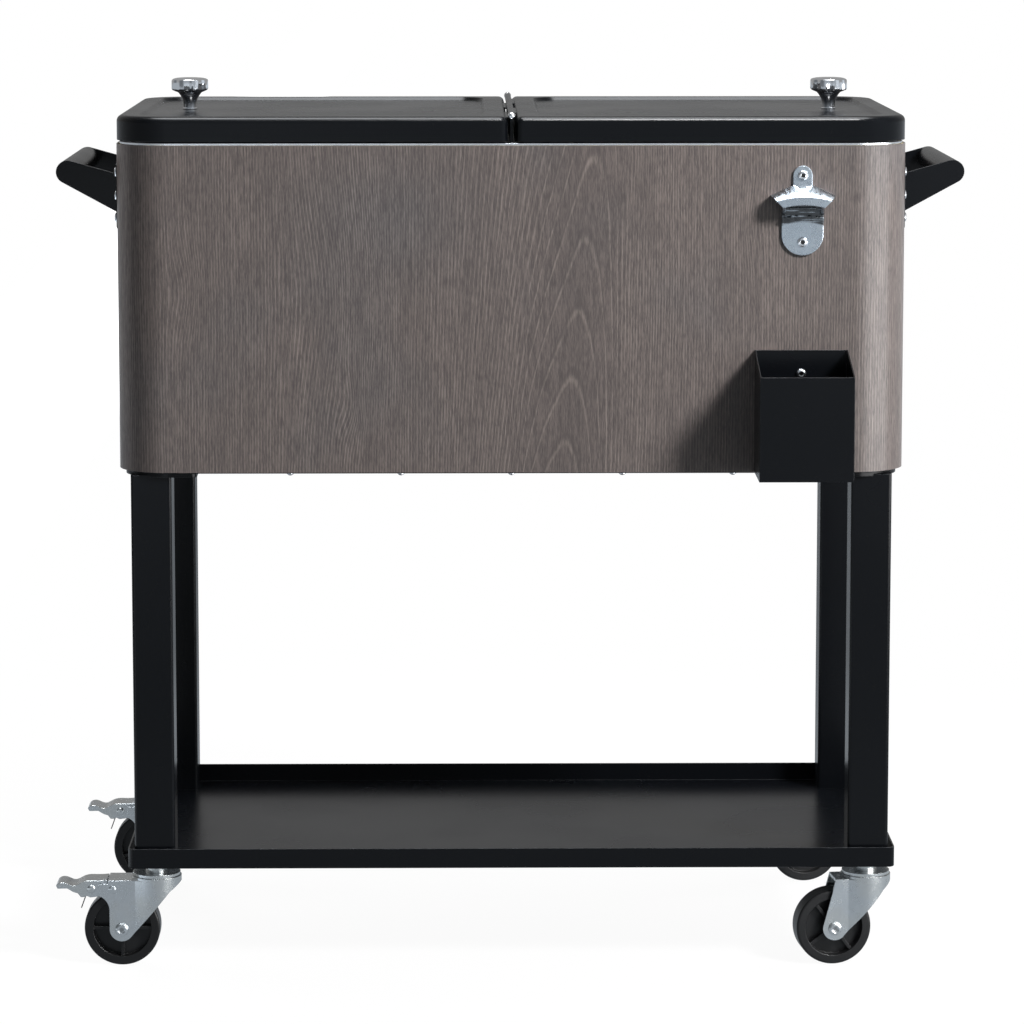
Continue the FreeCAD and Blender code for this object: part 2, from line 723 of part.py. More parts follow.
def make_lid_shell(side):
    """A pressed lid: skirt, rounded edge, sunk top panel and its hinge knuckles."""
    shell = lid_form(0.0, LID_Z, LID_TOP).cut(panel_block(0.0, LID_PANEL_Z))
    hollow = lid_form(LID_SHEET, LID_Z - OVERCUT, LID_TOP - LID_SHEET)
    shell = shell.cut(hollow.cut(panel_block(LID_SHEET, LID_PANEL_Z - LID_SHEET)))
    pieces = []
    for start, end in hinge_side(side):
        pieces.append(bar(HINGE_EYE_R, Vector(0, start, HINGE_Z), Vector(0, end, HINGE_Z)))
        web_top = HINGE_Z - HINGE_ROD_R - HINGE_WEB_BELOW_ROD
        reach = LID_GAP / 2 + LID_SHEET + HINGE_WEB
        pieces.append(box(0, reach, start, end, web_top - HINGE_WEB, web_top))
    shell = shell.fuse(pieces).removeSplitter()
    tools = [hinge_bore(start - SEAT_GAP, end + SEAT_GAP) for start, end in hinge_side(side)]
    tools.append(post(KNOB_SCREW_R + HOLE_FIT, KNOB_X, 0, LID_Z, LID_TOP + OVERCUT))
    return mirrored(shell.cut(tools), side)


def make_lid_tray(side):
    """The inner tray that closes a lid's underside."""
    inset = LID_SHEET + PART_GAP
    tray = lid_slab(inset, LID_TRAY_Z, LID_TRAY_Z + LID_TRAY_LIP)
    floor = LID_TRAY_Z + LID_TRAY_SHEET
    tray = tray.cut(lid_slab(inset + LID_TRAY_SHEET, floor, LID_TRAY_Z + LID_TRAY_LIP + OVERCUT))
    hole = post(KNOB_SCREW_R + HOLE_FIT, KNOB_X, 0, LID_TRAY_Z - OVERCUT, floor + OVERCUT)
    return mirrored(tray.cut(hole), side)


def make_lid_insulation(side):
    """The foam block inside a lid."""
    inset = LID_SHEET + LID_TRAY_SHEET + 2 * PART_GAP
    low = LID_TRAY_Z + LID_TRAY_SHEET + PART_GAP
    high = LID_PANEL_Z - LID_SHEET - PART_GAP
    foam = lid_slab(inset, low, high)
    return mirrored(foam.cut(post(KNOB_SCREW_R + PART_GAP, KNOB_X, 0, low - OVERCUT, high + OVERCUT)), side)


def make_knob(side):
    """A lobed knob: foot, hollowed neck and fluted head."""
    head_z = KNOB_HEIGHT - KNOB_HEAD_H
    side_top = KNOB_HEIGHT - KNOB_CROWN
    waist = Vector(KNOB_NECK_WAIST_R, 0, KNOB_FOOT_H + (head_z - KNOB_FOOT_H) * KNOB_NECK_WAIST)
    edges = polyline([(0, KNOB_HEIGHT), (0, 0), (KNOB_FOOT_R, 0), (KNOB_FOOT_R, KNOB_FOOT_H)], 0)
    edges += polyline([(KNOB_FOOT_R, KNOB_FOOT_H), (KNOB_NECK_R, KNOB_FOOT_H)], 0)
    shoulder = Vector(KNOB_SHOULDER_R, 0, head_z)
    edges.append(Part.Arc(Vector(KNOB_NECK_R, 0, KNOB_FOOT_H), waist, shoulder).toShape())
    bevel_z = head_z + KNOB_HEAD_BEVEL
    edges += polyline([(KNOB_SHOULDER_R, head_z), (KNOB_HEAD_R, bevel_z), (KNOB_HEAD_R, side_top)], 0)
    edges.append(cap_arc(KNOB_HEAD_R, side_top, KNOB_HEIGHT))
    knob = lathe(edges)
    flutes = []
    reach = KNOB_HEAD_R + KNOB_FLUTE_R - KNOB_FLUTE_DEPTH
    for i in range(KNOB_LOBES):
        turn = math.radians(360 * i / KNOB_LOBES)
        place = (reach * math.cos(turn), reach * math.sin(turn))
        flutes.append(post(KNOB_FLUTE_R, *place, head_z - OVERCUT, KNOB_HEIGHT + OVERCUT))
    knob = knob.cut(flutes)
    knob = knob.cut(post(KNOB_SCREW_R + CLOSE_FIT, 0, 0, -OVERCUT, KNOB_SCREW_GRIP + PART_GAP))
    knob.translate(Vector(side * KNOB_X, 0, LID_PANEL_Z))
    return knob


def make_knob_screw(side):
    """The screw that holds a knob, from under the lid."""
    length = LID_PANEL_Z + KNOB_SCREW_GRIP - LID_TRAY_Z
    one = screw(KNOB_SCREW_HEAD_R, KNOB_SCREW_HEAD_H, KNOB_SCREW_R, length)
    return aim(one, Vector(side * KNOB_X, 0, LID_TRAY_Z), Vector(0, 0, -1))


# Handles

def make_handle(side):
    """A welded handle: two tapered arms with flanges and a round grip between them."""
    centre = handle_grip_centre()
    wall = HALF_X
    top = (wall, centre[1] - HANDLE_ARM_DROP)
    low = (wall, top[1] - HANDLE_ARM_HEIGHT)
    upper = tangent_point(top, centre, HANDLE_GRIP_R, -1)
    lower = tangent_point(low, centre, HANDLE_GRIP_R, 1)
    span = HANDLE_SPAN / 2
    flange_z = handle_flange_z()
    pieces = []
    for end in (-1, 1):
        y = -span if end < 0 else span - HANDLE_SHEET
        edges = polyline([lower, low, top, upper], y)
        edges.append(arc_xz(centre, HANDLE_GRIP_R, angle_xz(upper, centre), angle_xz(lower, centre), y))
        pieces.append(side_prism(edges, HANDLE_SHEET))
        y0, y1 = sorted((end * (span + HANDLE_FLANGE_WIDTH), end * (span - HANDLE_SHEET)))
        low_z = flange_z - HANDLE_FLANGE_HEIGHT / 2
        high_z = flange_z + HANDLE_FLANGE_HEIGHT / 2
        flange = slab(low_z, high_z, y0, y1, HANDLE_FLANGE_EDGE_R, 0, HANDLE_FLANGE_SHEET)
        flange.rotate(Vector(0, 0, 0), Vector(0, 1, 0), -90)
        flange.translate(Vector(wall + HANDLE_FLANGE_SHEET, 0, 0))
        pieces.append(flange)
    middle = Vector(centre[0], 0, centre[1])
    weld = Vector(0, span - HANDLE_SHEET / 2, 0)
    inside = Vector(0, span - HANDLE_SHEET, 0)
    pieces.append(bar(HANDLE_GRIP_R, middle - weld, middle + weld))
    handle = pieces[0].fuse(pieces[1:]).removeSplitter()
    tools = side_bores(SCREW_SHANK_R + CLOSE_FIT, wall + HANDLE_FLANGE_SHEET + OVERCUT, wall - OVERCUT, (1,))
    tools.append(bar(HANDLE_GRIP_R - HANDLE_GRIP_WALL, middle - inside, middle + inside))
    tools.append(post(HANDLE_VENT_R, centre[0], 0, centre[1] - HANDLE_GRIP_R - OVERCUT, centre[1]))
    return mirrored(handle.cut(tools), side)


def make_handle_screws():
    """The screws through the handle flanges."""
    one = screw(SCREW_HEAD_R, SCREW_HEAD_H, SCREW_SHANK_R, SCREW_GRIP + HANDLE_FLANGE_SHEET)
    screws = []
    for side in SIDES.values():
        for y, z in handle_screw_places():
            screws.append(aim(one, Vector(side * (HALF_X + HANDLE_FLANGE_SHEET), y, z), Vector(side, 0, 0)))
    return group(screws)


# Front accessories

def opener_band(section, low_z):
    """A (y, z) section bent over the opener's arch, which is centred below its lip."""
    arch_r = (OPENER_FOOT_R**2 + OPENER_ARCH**2) / (2 * OPENER_ARCH)
    centre = Vector(0, 0, low_z + OPENER_ARCH - arch_r)
    spread = math.degrees(math.asin(OPENER_HOOD_HALF / arch_r))
    face = Part.Face(Part.makePolygon([Vector(0, y, z) for y, z in section]))
    face.rotate(centre, Vector(0, 1, 0), -spread)
    return face.revolve(centre, Vector(0, 1, 0), 2 * spread)


def make_bottle_opener():
    """A wall opener: lug, arched hood with a cap-catching lip, tooth, and a rounded foot plate."""
    top = RIM_Z - OPENER_TOP_BELOW_RIM
    lug = (0.0, top - OPENER_LUG_R)
    base = (0.0, top - OPENER_HEIGHT + OPENER_FOOT_R)
    hood_top = lug[1] - OPENER_LUG_R
    tip_z = hood_top - OPENER_TIP_DROP
    lip_z = hood_top - OPENER_HOOD_DROP
    mouth_z = lip_z - OPENER_MOUTH
    wall = -HALF_Y
    plate_y = wall - OPENER_PLATE
    front = wall - OPENER_HOOD_REACH
    foot = OPENER_FOOT_R
    lug_r = OPENER_LUG_R

    edges = [arc_xz(lug, lug_r, 0, 180, plate_y)]
    edges += polyline([(-lug_r, lug[1]), (-lug_r, hood_top), (-foot, lip_z), (-foot, base[1])], plate_y)
    edges.append(arc_xz(base, foot, 180, 360, plate_y))
    edges += polyline([(foot, base[1]), (foot, lip_z), (lug_r, hood_top), (lug_r, lug[1])], plate_y)
    plate = side_prism(edges, OPENER_PLATE)

    # The hood in section: a sloping roof that turns down into the lip, hollow underneath.
    sheet = OPENER_HOOD_SHEET
    roof_z = lip_z + OPENER_HOOD_LIP
    section = [
        (wall, hood_top),
        (plate_y, hood_top),
        (front + sheet, roof_z + sheet),
        (front, roof_z),
        (front, lip_z),
        (front + sheet, lip_z),
        (front + sheet, roof_z - sheet / 2),
        (plate_y, hood_top - 2 * sheet),
        (wall, hood_top - 2 * sheet),
        (wall, hood_top),
    ]
    half = OPENER_HOOD_HALF
    hem_z = lip_z - OPENER_ARCH
    right = [(foot, hem_z), (half, tip_z), (lug_r, hood_top)]
    left = [(-x, z) for x, z in reversed(right)]
    face_on = side_prism(polyline(right + left + right[:1], front), OPENER_HOOD_REACH)
    tooth_z = lip_z - OPENER_TOOTH_BELOW_LIP
    tooth_y = (plate_y - OPENER_RIDGE, wall)
    tooth = box(-OPENER_TOOTH_HALF, OPENER_TOOTH_HALF, *tooth_y, tooth_z - OPENER_TOOTH, tooth_z)
    ridge = [(wall, mouth_z), (plate_y, mouth_z), (plate_y - OPENER_RIDGE, mouth_z - OPENER_RIDGE / 2)]
    ridge += [(plate_y, mouth_z - 2 * OPENER_RIDGE), (wall, mouth_z - 2 * OPENER_RIDGE), (wall, mouth_z)]
    pieces = [
        opener_band(section, lip_z).common(face_on),
        opener_band(ridge, mouth_z - 2 * OPENER_ARCH).common(box(-foot, foot, front, wall, base[1], lip_z)),
        tooth,
    ]
    under_roof = [
        (wall, mouth_z),
        (plate_y - OPENER_RIDGE, mouth_z),
        (front + sheet, lip_z),
        (front + sheet, roof_z - sheet),
        (wall, hood_top - 2 * sheet),
        (wall, mouth_z),
    ]
    for side in (-1, 1):
        face = Part.Face(Part.makePolygon([Vector(side * foot, y, z) for y, z in under_roof]))
        pieces.append(face.extrude(Vector(-side * sheet, 0, 0)))
    opener = plate.fuse(pieces).removeSplitter()
    opener.translate(Vector(ACCESSORY_X, 0, 0))
    bores = []
    for z, sheet_under in accessory_screw_places():
        if sheet_under == OPENER_PLATE:
            bores.append(front_bore(SCREW_SHANK_R + CLOSE_FIT, z, plate_y - OVERCUT, wall + OVERCUT))
    return opener.cut(bores)


def make_cap_catcher():
    """A folded sheet box with an open top that is higher at the wall."""
    low = SHELL_Z + CATCHER_ABOVE_SHELL
    half = CATCHER_WIDTH / 2
    wall = -HALF_Y
    front = wall - CATCHER_DEPTH
    section = [
        (wall, low),
        (front, low),
        (front, low + CATCHER_FRONT_HEIGHT),
        (wall - CATCHER_SHEET, low + CATCHER_BACK_HEIGHT),
        (wall, low + CATCHER_BACK_HEIGHT),
        (wall, low),
    ]
    corners = [Vector(ACCESSORY_X - half, y, z) for y, z in section]
    body = Part.Face(Part.makePolygon(corners)).extrude(Vector(CATCHER_WIDTH, 0, 0))
    inner = half - CATCHER_SHEET
    high = low + CATCHER_BACK_HEIGHT + OVERCUT
    space = box(-inner, inner, front + CATCHER_SHEET, wall - CATCHER_SHEET, low + CATCHER_SHEET, high)
    space.translate(Vector(ACCESSORY_X, 0, 0))
    bores = [
        front_bore(SCREW_SHANK_R + CLOSE_FIT, low + height, wall - CATCHER_SHEET - OVERCUT, wall + OVERCUT)
        for height in CATCHER_SCREW_HEIGHTS
    ]
    return body.cut([space] + bores)


def make_accessory_screws():
    """The screws of the opener and the catcher."""
    screws = []
    for z, sheet in accessory_screw_places():
        one = screw(SCREW_HEAD_R, SCREW_HEAD_H, SCREW_SHANK_R, SCREW_GRIP + sheet)
        screws.append(aim(one, Vector(ACCESSORY_X, -HALF_Y - sheet, z), Vector(0, -1, 0)))
    return group(screws)


# Legs and shelf

def make_leg(sx, sy):
    """A square tube welded to a corner plate that bolts under the tank."""
    half = LEG_SIZE / 2
    x = sx * LEG_X
    y = sy * LEG_Y
    tube = slab(x - half, x + half, y - half, y + half, LEG_EDGE_R, LEG_Z, LEG_PLATE_Z + LEG_PLATE / 2)
    outer_x = sx * (HALF_X - LEG_PLATE_INSET)
    outer_y = sy * (HALF_Y - LEG_PLATE_INSET)
    x0, x1 = sorted((outer_x, outer_x - sx * LEG_PLATE_SIZE))
    y0, y1 = sorted((outer_y, outer_y - sy * LEG_PLATE_SIZE))
    radii = [LEG_PLATE_EDGE_R] * 4
    outer_corner = [(-1, -1), (1, -1), (1, 1), (-1, 1)].index((sx, sy))
    radii[outer_corner] = BODY_CORNER_R - LEG_PLATE_INSET
    plate = slab(x0, x1, y0, y1, radii, LEG_PLATE_Z, PAN_Z)
    inner = half - LEG_SHEET
    inner_r = LEG_EDGE_R - LEG_SHEET / 2
    hollow = slab(x - inner, x + inner, y - inner, y + inner, inner_r, LEG_Z - OVERCUT, LEG_PLATE_Z)
    leg = tube.fuse(plate).removeSplitter()
    tools = [hollow]
    for bx, by in leg_bolt_places():
        if bx * sx > 0 and by * sy > 0:
            tools.append(post(LEG_BOLT_R + HOLE_FIT, bx, by, LEG_PLATE_Z - OVERCUT, PAN_Z + OVERCUT))
    return leg.cut(tools)


def make_leg_bolts():
    """The bolts that hold the leg plates to the pan, heads down."""
    grip = LEG_PLATE + PAN_SHEET + LEG_NUT_H
    one = screw(LEG_BOLT_HEAD_R, LEG_BOLT_HEAD_H, LEG_BOLT_R, grip)
    down = Vector(0, 0, -1)
    return group([aim(one, Vector(x, y, LEG_PLATE_Z), down) for x, y in leg_bolt_places()])


def make_leg_nuts():
    """Nuts on top of the pan for the leg bolts."""
    nuts = []
    for x, y in leg_bolt_places():
        top = SHELL_Z + LEG_NUT_H
        thread = post(LEG_BOLT_R + CLOSE_FIT, x, y, SHELL_Z - OVERCUT, top + OVERCUT)
        nuts.append(hexagon(LEG_NUT_R, x, y, SHELL_Z, top).cut(thread))
    return group(nuts)


def make_leg_plugs():
    """Plugs in the leg ends that take the caster stems."""
    half = LEG_SIZE / 2 - LEG_SHEET - PART_GAP / 2
    plugs = []
    for sx, sy in CORNERS.values():
        x = sx * LEG_X
        y = sy * LEG_Y
        top = LEG_Z + LEG_PLUG_HEIGHT
        plug = slab(x - half, x + half, y - half, y + half, LEG_EDGE_R, LEG_Z, top)
        plugs.append(plug.cut(post(KINGPIN_R + CLOSE_FIT, x, y, LEG_Z - OVERCUT, top + OVERCUT)))
    return group(plugs)


def make_shelf_tray():
    """The shelf: a sheet tray with turned-up lips, clamped between the legs and the casters."""
    half_x = LEG_X + LEG_SIZE / 2 + TRAY_MARGIN
    half_y = LEG_Y + LEG_SIZE / 2 + TRAY_MARGIN
    tray = slab(-half_x, half_x, -half_y, half_y, TRAY_CORNER_R, TRAY_Z, LEG_Z + TRAY_LIP - TRAY_SHEET)
    tray = tray.makeFillet(TRAY_SHEET, edges_at(tray, TRAY_Z))
    in_x = half_x - TRAY_SHEET
    in_y = half_y - TRAY_SHEET
    inner_r = TRAY_CORNER_R - TRAY_SHEET
    tools = [slab(-in_x, in_x, -in_y, in_y, inner_r, LEG_Z, LEG_Z + TRAY_LIP + OVERCUT)]
    for sx, sy in CORNERS.values():
        tools.append(post(KINGPIN_R + HOLE_FIT, sx * LEG_X, sy * LEG_Y, TRAY_Z - OVERCUT, LEG_Z + OVERCUT))
    return tray.cut(tools)


# Casters, drawn about the kingpin's axis with the wheel trailing towards -X

def make_caster_mount():
    """The fixed half of a caster: stem, upper race and riveted kingpin."""
    race_z = FORK_TOP + FORK_DISH_H + PART_GAP
    pieces = [
        post(RACE_R, 0, 0, race_z, race_z + RACE_SHEET),
        post(RACE_RING_R, 0, 0, FORK_TOP + PART_GAP, race_z + RACE_SHEET / 2),
        post(MOUNT_BOSS_R, 0, 0, race_z + RACE_SHEET / 2, TRAY_Z),
        post(KINGPIN_HEAD_R, 0, 0, FORK_PLATE_Z - PART_GAP - KINGPIN_HEAD_H, FORK_PLATE_Z - PART_GAP),
    ]
    stem = post(KINGPIN_R, 0, 0, FORK_PLATE_Z - KINGPIN_HEAD_H, LEG_Z + STEM_INTO_PLUG)
    return stem.fuse(pieces).removeSplitter()


def fork_plan(inset, back, z0, z1):
    """The fork's plan as a prism: flat sides drawn in to a round nose, set in by an inset."""
    nose_r = FORK_NOSE_R - inset
    half = FORK_HALF_WIDTH - inset
    crease = (-FORK_CREASE_X, half)
    touch = tangent_point(crease, (0.0, 0.0), nose_r, -1)
    points = [(-back, half), crease, touch]
    upper = [Vector(x, y, z0) for x, y in points]
    lower = [Vector(x, -y, z0) for x, y in reversed(points)]
    edges = [Part.LineSegment(a, b).toShape() for a, b in zip(upper, upper[1:])]
    edges.append(Part.Arc(upper[-1], Vector(nose_r, 0, z0), lower[0]).toShape())
    edges += [Part.LineSegment(a, b).toShape() for a, b in zip(lower, lower[1:])]
    edges.append(Part.LineSegment(lower[-1], upper[0]).toShape())
    return Part.Face(Part.Wire(edges)).extrude(Vector(0, 0, z1 - z0))


def fork_side(braked, depth):
    """The fork seen from the side, as a prism along Y: leg, axle boss, slanted front and shoulder."""
    axle = (-CASTER_TRAIL, WHEEL_R)
    y = -depth / 2
    top = FORK_TOP + FORK_DISH_H
    tail = -CASTER_TRAIL - FORK_BOSS_R
    back = (tail if braked else tail + FORK_LEAN, FORK_TOP)
    shoulder = (FORK_SHOULDER_X, FORK_TOP - FORK_SHOULDER_DROP)
    nose = FORK_NOSE_R + OVERCUT
    heel = (tail, WHEEL_R) if braked else tangent_point(back, axle, FORK_BOSS_R, 1)
    toe = tangent_point(shoulder, axle, FORK_BOSS_R, -1)
    heel_deg = angle_xz(heel, axle) % 360
    edges = [arc_xz(axle, FORK_BOSS_R, heel_deg, angle_xz(toe, axle) % 360, y)]
    front = [toe, shoulder, (nose, FORK_PLATE_Z), (nose, top)]
    if not braked:
        return side_prism(edges + polyline(front + [(back[0], top), back, heel], y), depth)
    # The braked fork's sides run back as ears that hold the pedal's pivot.
    ear_top = FORK_TOP - FORK_EAR_TOP
    ear_low = FORK_TOP - FORK_EAR_LOW
    sweep = (tail, ear_low - FORK_EAR_SWEEP)
    across, down = FORK_SWEEP_BEND
    bend = Vector(tail - (FORK_EAR_REACH + tail) * across, y, ear_low - FORK_EAR_SWEEP * down)
    edges += polyline(front + [(-FORK_SEAM, top), (-FORK_SEAM, ear_top)], y)
    edges += polyline([(-FORK_SEAM, ear_top), (-FORK_EAR_REACH, ear_top), (-FORK_EAR_REACH, ear_low)], y)
    edges.append(
        Part.Arc(Vector(-FORK_EAR_REACH, y, ear_low), bend, Vector(sweep[0], y, sweep[1])).toShape()
    )
    return side_prism(edges + polyline([sweep, heel], y), depth)


def make_fork(braked):
    """A pressed fork: nose, two sides, top plate and the raised dish round the race."""
    back = FORK_EAR_REACH + OVERCUT
    low = WHEEL_R - FORK_BOSS_R - OVERCUT
    wall = fork_plan(0.0, back, low, FORK_TOP)
    wall = wall.cut(fork_plan(FORK_SHEET, back + OVERCUT, low - OVERCUT, FORK_PLATE_Z))
    fork = wall.common(fork_side(braked, 2 * FORK_NOSE_R + 2 * OVERCUT))
    dish = post(FORK_NOSE_R, 0, 0, FORK_PLATE_Z, FORK_TOP + FORK_DISH_H)
    dish = dish.cut(post(DISH_BORE_R, 0, 0, FORK_TOP, FORK_TOP + FORK_DISH_H + OVERCUT))
    fork = fork.fuse(dish).removeSplitter()
    axle = Vector(-CASTER_TRAIL, 0, WHEEL_R)
    reach = Vector(0, FORK_HALF_WIDTH + OVERCUT, 0)
    tools = [
        post(KINGPIN_R + RUNNING_FIT, 0, 0, FORK_PLATE_Z - OVERCUT, FORK_TOP + OVERCUT),
        bar(AXLE_R + CLOSE_FIT, axle - reach, axle + reach),
    ]
    if braked:
        pivot = Vector(-PEDAL_PIVOT_X, 0, PIVOT_Z)
        tools.append(bar(PEDAL_PIVOT_R + CLOSE_FIT, pivot - reach, pivot + reach))
    return fork.cut(tools)


def make_axle():
    """The axle rivet through the fork and the wheel."""
    one = rivet(AXLE_HEAD_R, AXLE_HEAD_H, AXLE_R, 2 * FORK_HALF_WIDTH, AXLE_HEAD_R, AXLE_HEAD_H)
    return aim(one, Vector(-CASTER_TRAIL, -FORK_HALF_WIDTH, WHEEL_R), Vector(0, -1, 0))


def make_wheel(roll_deg):
    """A one-piece wheel: tread ring, thin web, hub and ribs on both sides, rolled by an angle."""
    half = WHEEL_WIDTH / 2
    hub_half = FORK_INNER_HALF - SIDE_PLAY
    rim_inner = WHEEL_R - WHEEL_RIM
    ring = post(WHEEL_R, 0, 0, -half, half)
    ring = ring.makeFillet(WHEEL_EDGE_R, edges_at(ring, -half) + edges_at(ring, half))
    ring = ring.cut(post(rim_inner, 0, 0, -half - OVERCUT, half + OVERCUT))
    lips = [e for z in (-half, half) for e in edges_at(ring, z) if e.Curve.Radius < rim_inner + SEAT_GAP]
    ring = ring.makeFillet(WHEEL_LIP_R, lips)
    pieces = [
        post(rim_inner + WHEEL_RIM / 3, 0, 0, -WHEEL_WEB / 2, WHEEL_WEB / 2),
        post(HUB_R, 0, 0, -hub_half, hub_half),
    ]
    rib_half = half - WHEEL_WEB / 2
    for i in range(WHEEL_RIBS):
        rib = box(0, rim_inner + WHEEL_RIM / 3, -WHEEL_RIB / 2, WHEEL_RIB / 2, -rib_half, rib_half)
        rib.rotate(Vector(0, 0, 0), Vector(0, 0, 1), roll_deg + 360 * i / WHEEL_RIBS)
        pieces.append(rib)
    wheel = ring.fuse(pieces).removeSplitter()
    wheel = wheel.cut(post(AXLE_R + RUNNING_FIT, 0, 0, -hub_half - OVERCUT, hub_half + OVERCUT))
    return aim(wheel, Vector(-CASTER_TRAIL, 0, WHEEL_R), Vector(0, -1, 0))


def make_brake_pivots():
    """Two short rivets that the pedal turns on, one through each ear of the fork."""
    grip = FORK_HALF_WIDTH - PEDAL_INNER_HALF + SEAT_GAP
    one = rivet(PEDAL_HEAD_R, PEDAL_HEAD_H, PEDAL_PIVOT_R, grip, PEDAL_HEAD_R * RIVET_TAIL, PEDAL_HEAD_H / 2)
    pins = []
    for side in (-1, 1):
        place = Vector(-PEDAL_PIVOT_X, side * FORK_HALF_WIDTH, PIVOT_Z)
        pins.append(aim(one, place, Vector(0, side, 0)))
    return group(pins)


def pedal_roof(drop, y):
    """The pedal's waved top line, from the seam with the fork to the tip, lowered by a drop."""
    places = [(FORK_SEAM + PEDAL_SEAM_GAP, 0.0), *PEDAL_WAVE, (PEDAL_REACH, PEDAL_TIP_DROP)]
    curve = Part.BSplineCurve()
    curve.interpolate([Vector(-x, y, FORK_TOP - z - drop) for x, z in places])
    return curve.toShape()


def make_brake_pedal():
    """The foot lever: a pressed channel with a waved top, held between the fork's ears."""
    pivot = (-PEDAL_PIVOT_X, PIVOT_Z)
    seam = -FORK_SEAM - PEDAL_SEAM_GAP
    tip = -PEDAL_REACH
    y = -PEDAL_OUTER_HALF
    ear_top = (pivot[0], pivot[1] + PEDAL_EAR_R)
    ear_low = (pivot[0], pivot[1] - PEDAL_EAR_R)
    under = [(-x, FORK_TOP - z) for x, z in PEDAL_UNDER]
    edges = [pedal_roof(0.0, y)]
    edges += polyline([(tip, FORK_TOP - PEDAL_TIP_DROP)] + under + [ear_low], y)
    edges.append(arc_xz(pivot, PEDAL_EAR_R, -90, 90, y))
    edges += polyline([ear_top, (seam, ear_top[1]), (seam, FORK_TOP)], y)
    solid = side_prism(edges, 2 * PEDAL_OUTER_HALF)
    # The hollow follows the top's wave one sheet below it and stops short of the tip.
    y = -PEDAL_INNER_HALF
    deep = CASTER_HEIGHT - FORK_TOP
    roof = pedal_roof(PEDAL_SHEET, y)
    low_z = FORK_TOP - PEDAL_TIP_DROP - PEDAL_SHEET - 2 * deep
    edges = [roof]
    edges += polyline([(tip, FORK_TOP - PEDAL_TIP_DROP - PEDAL_SHEET), (tip, low_z), (seam, low_z)], y)
    edges += polyline([(seam, low_z), (seam, FORK_TOP - PEDAL_SHEET)], y)
    hollow = side_prism(edges, 2 * PEDAL_INNER_HALF)
    hollow = hollow.cut(box(tip, tip + 2 * PEDAL_SHEET, -FORK_NOSE_R, FORK_NOSE_R, 0, FORK_TOP))
    between = box(seam, 0, -PEDAL_INNER_HALF, PEDAL_INNER_HALF, 0, CASTER_HEIGHT)
    pedal = solid.cut([hollow, between])
    pin = rivet(PEDAL_HEAD_R, PEDAL_HEAD_H, PEDAL_PIVOT_R, 2 * PEDAL_OUTER_HALF, PEDAL_HEAD_R, PEDAL_HEAD_H)
    pin = aim(pin, Vector(-PEDAL_RIVET_X, -PEDAL_OUTER_HALF, PIVOT_Z), Vector(0, -1, 0))
    pedal = pedal.fuse(pin).removeSplitter()
    reach = Vector(0, PEDAL_OUTER_HALF + OVERCUT, 0)
    centre = Vector(pivot[0], 0, pivot[1])
    return pedal.cut(bar(PEDAL_PIVOT_R + RUNNING_FIT, centre - reach, centre + reach))


def spring_tip():
    """The spring's free end: just clear of the tread when the pedal is fully down."""
    pivot = (-PEDAL_PIVOT_X, PIVOT_Z)
    axle = (-CASTER_TRAIL, WHEEL_R)
    span = math.hypot(axle[0] - pivot[0], axle[1] - pivot[1])
    clear = WHEEL_R + SPRING_SHEET + 3 * PART_GAP
    closing = math.acos((SPRING_REACH**2 + span**2 - clear**2) / (2 * SPRING_REACH * span))
    toward = math.atan2(axle[1] - pivot[1], axle[0] - pivot[0])
    angle = toward - closing - math.radians(PEDAL_TRAVEL_DEG)
    return pivot[0] + SPRING_REACH * math.cos(angle), pivot[1] + SPRING_REACH * math.sin(angle)


def make_brake_spring():
    """The leaf that presses on the tread, with an eye round the pedal's rivet."""
    eye = Vector(-PEDAL_RIVET_X, -SPRING_WIDTH / 2, PIVOT_Z)
    outer = PEDAL_PIVOT_R + CLOSE_FIT + SPRING_EYE
    tip = spring_tip()
    start = (eye.x - outer + SPRING_SHEET / 2, eye.z)
    run = math.hypot(tip[0] - start[0], tip[1] - start[1])
    across = (SPRING_SHEET * (tip[1] - start[1]) / run, -SPRING_SHEET * (tip[0] - start[0]) / run)
    half = (across[0] / 2, across[1] / 2)
    points = [
        (start[0] - half[0], start[1] - half[1]),
        (tip[0] - half[0], tip[1] - half[1]),
        (tip[0] + half[0], tip[1] + half[1]),
        (start[0] + half[0], start[1] + half[1]),
        (start[0] - half[0], start[1] - half[1]),
    ]
    leaf = side_prism(polyline(points, -SPRING_WIDTH / 2), SPRING_WIDTH)
    ring = bar(outer, eye, eye + Vector(0, SPRING_WIDTH, 0))
    spring = ring.fuse(leaf).removeSplitter()
    through = Vector(0, SPRING_WIDTH + OVERCUT, 0)
    return spring.cut(bar(PEDAL_PIVOT_R + CLOSE_FIT, eye - Vector(0, OVERCUT, 0), eye + through))


# Drain

def make_drain_spout():
    """The drain pipe, with its flange down in the liner's well."""
    low = PAN_Z - DRAIN_PIPE_BELOW_PAN
    floor = WELL_Z + LINER_SHEET
    spout = post(DRAIN_PIPE_R, 0, DRAIN_Y, low, floor + DRAIN_FLANGE_H)
    spout = spout.fuse(post(DRAIN_FLANGE_R, 0, DRAIN_Y, floor, floor + DRAIN_FLANGE_H)).removeSplitter()
    return spout.cut(post(DRAIN_BORE_R, 0, DRAIN_Y, low - OVERCUT, floor + DRAIN_FLANGE_H + OVERCUT))


def make_drain_locknut():
    """The nut that draws the spout's flange down on the liner."""
    nut = hexagon(DRAIN_NUT_R, 0, DRAIN_Y, PAN_Z - DRAIN_NUT_H, PAN_Z)
    return nut.cut(post(DRAIN_PIPE_R + CLOSE_FIT, 0, DRAIN_Y, PAN_Z - DRAIN_NUT_H - OVERCUT, PAN_Z + OVERCUT))


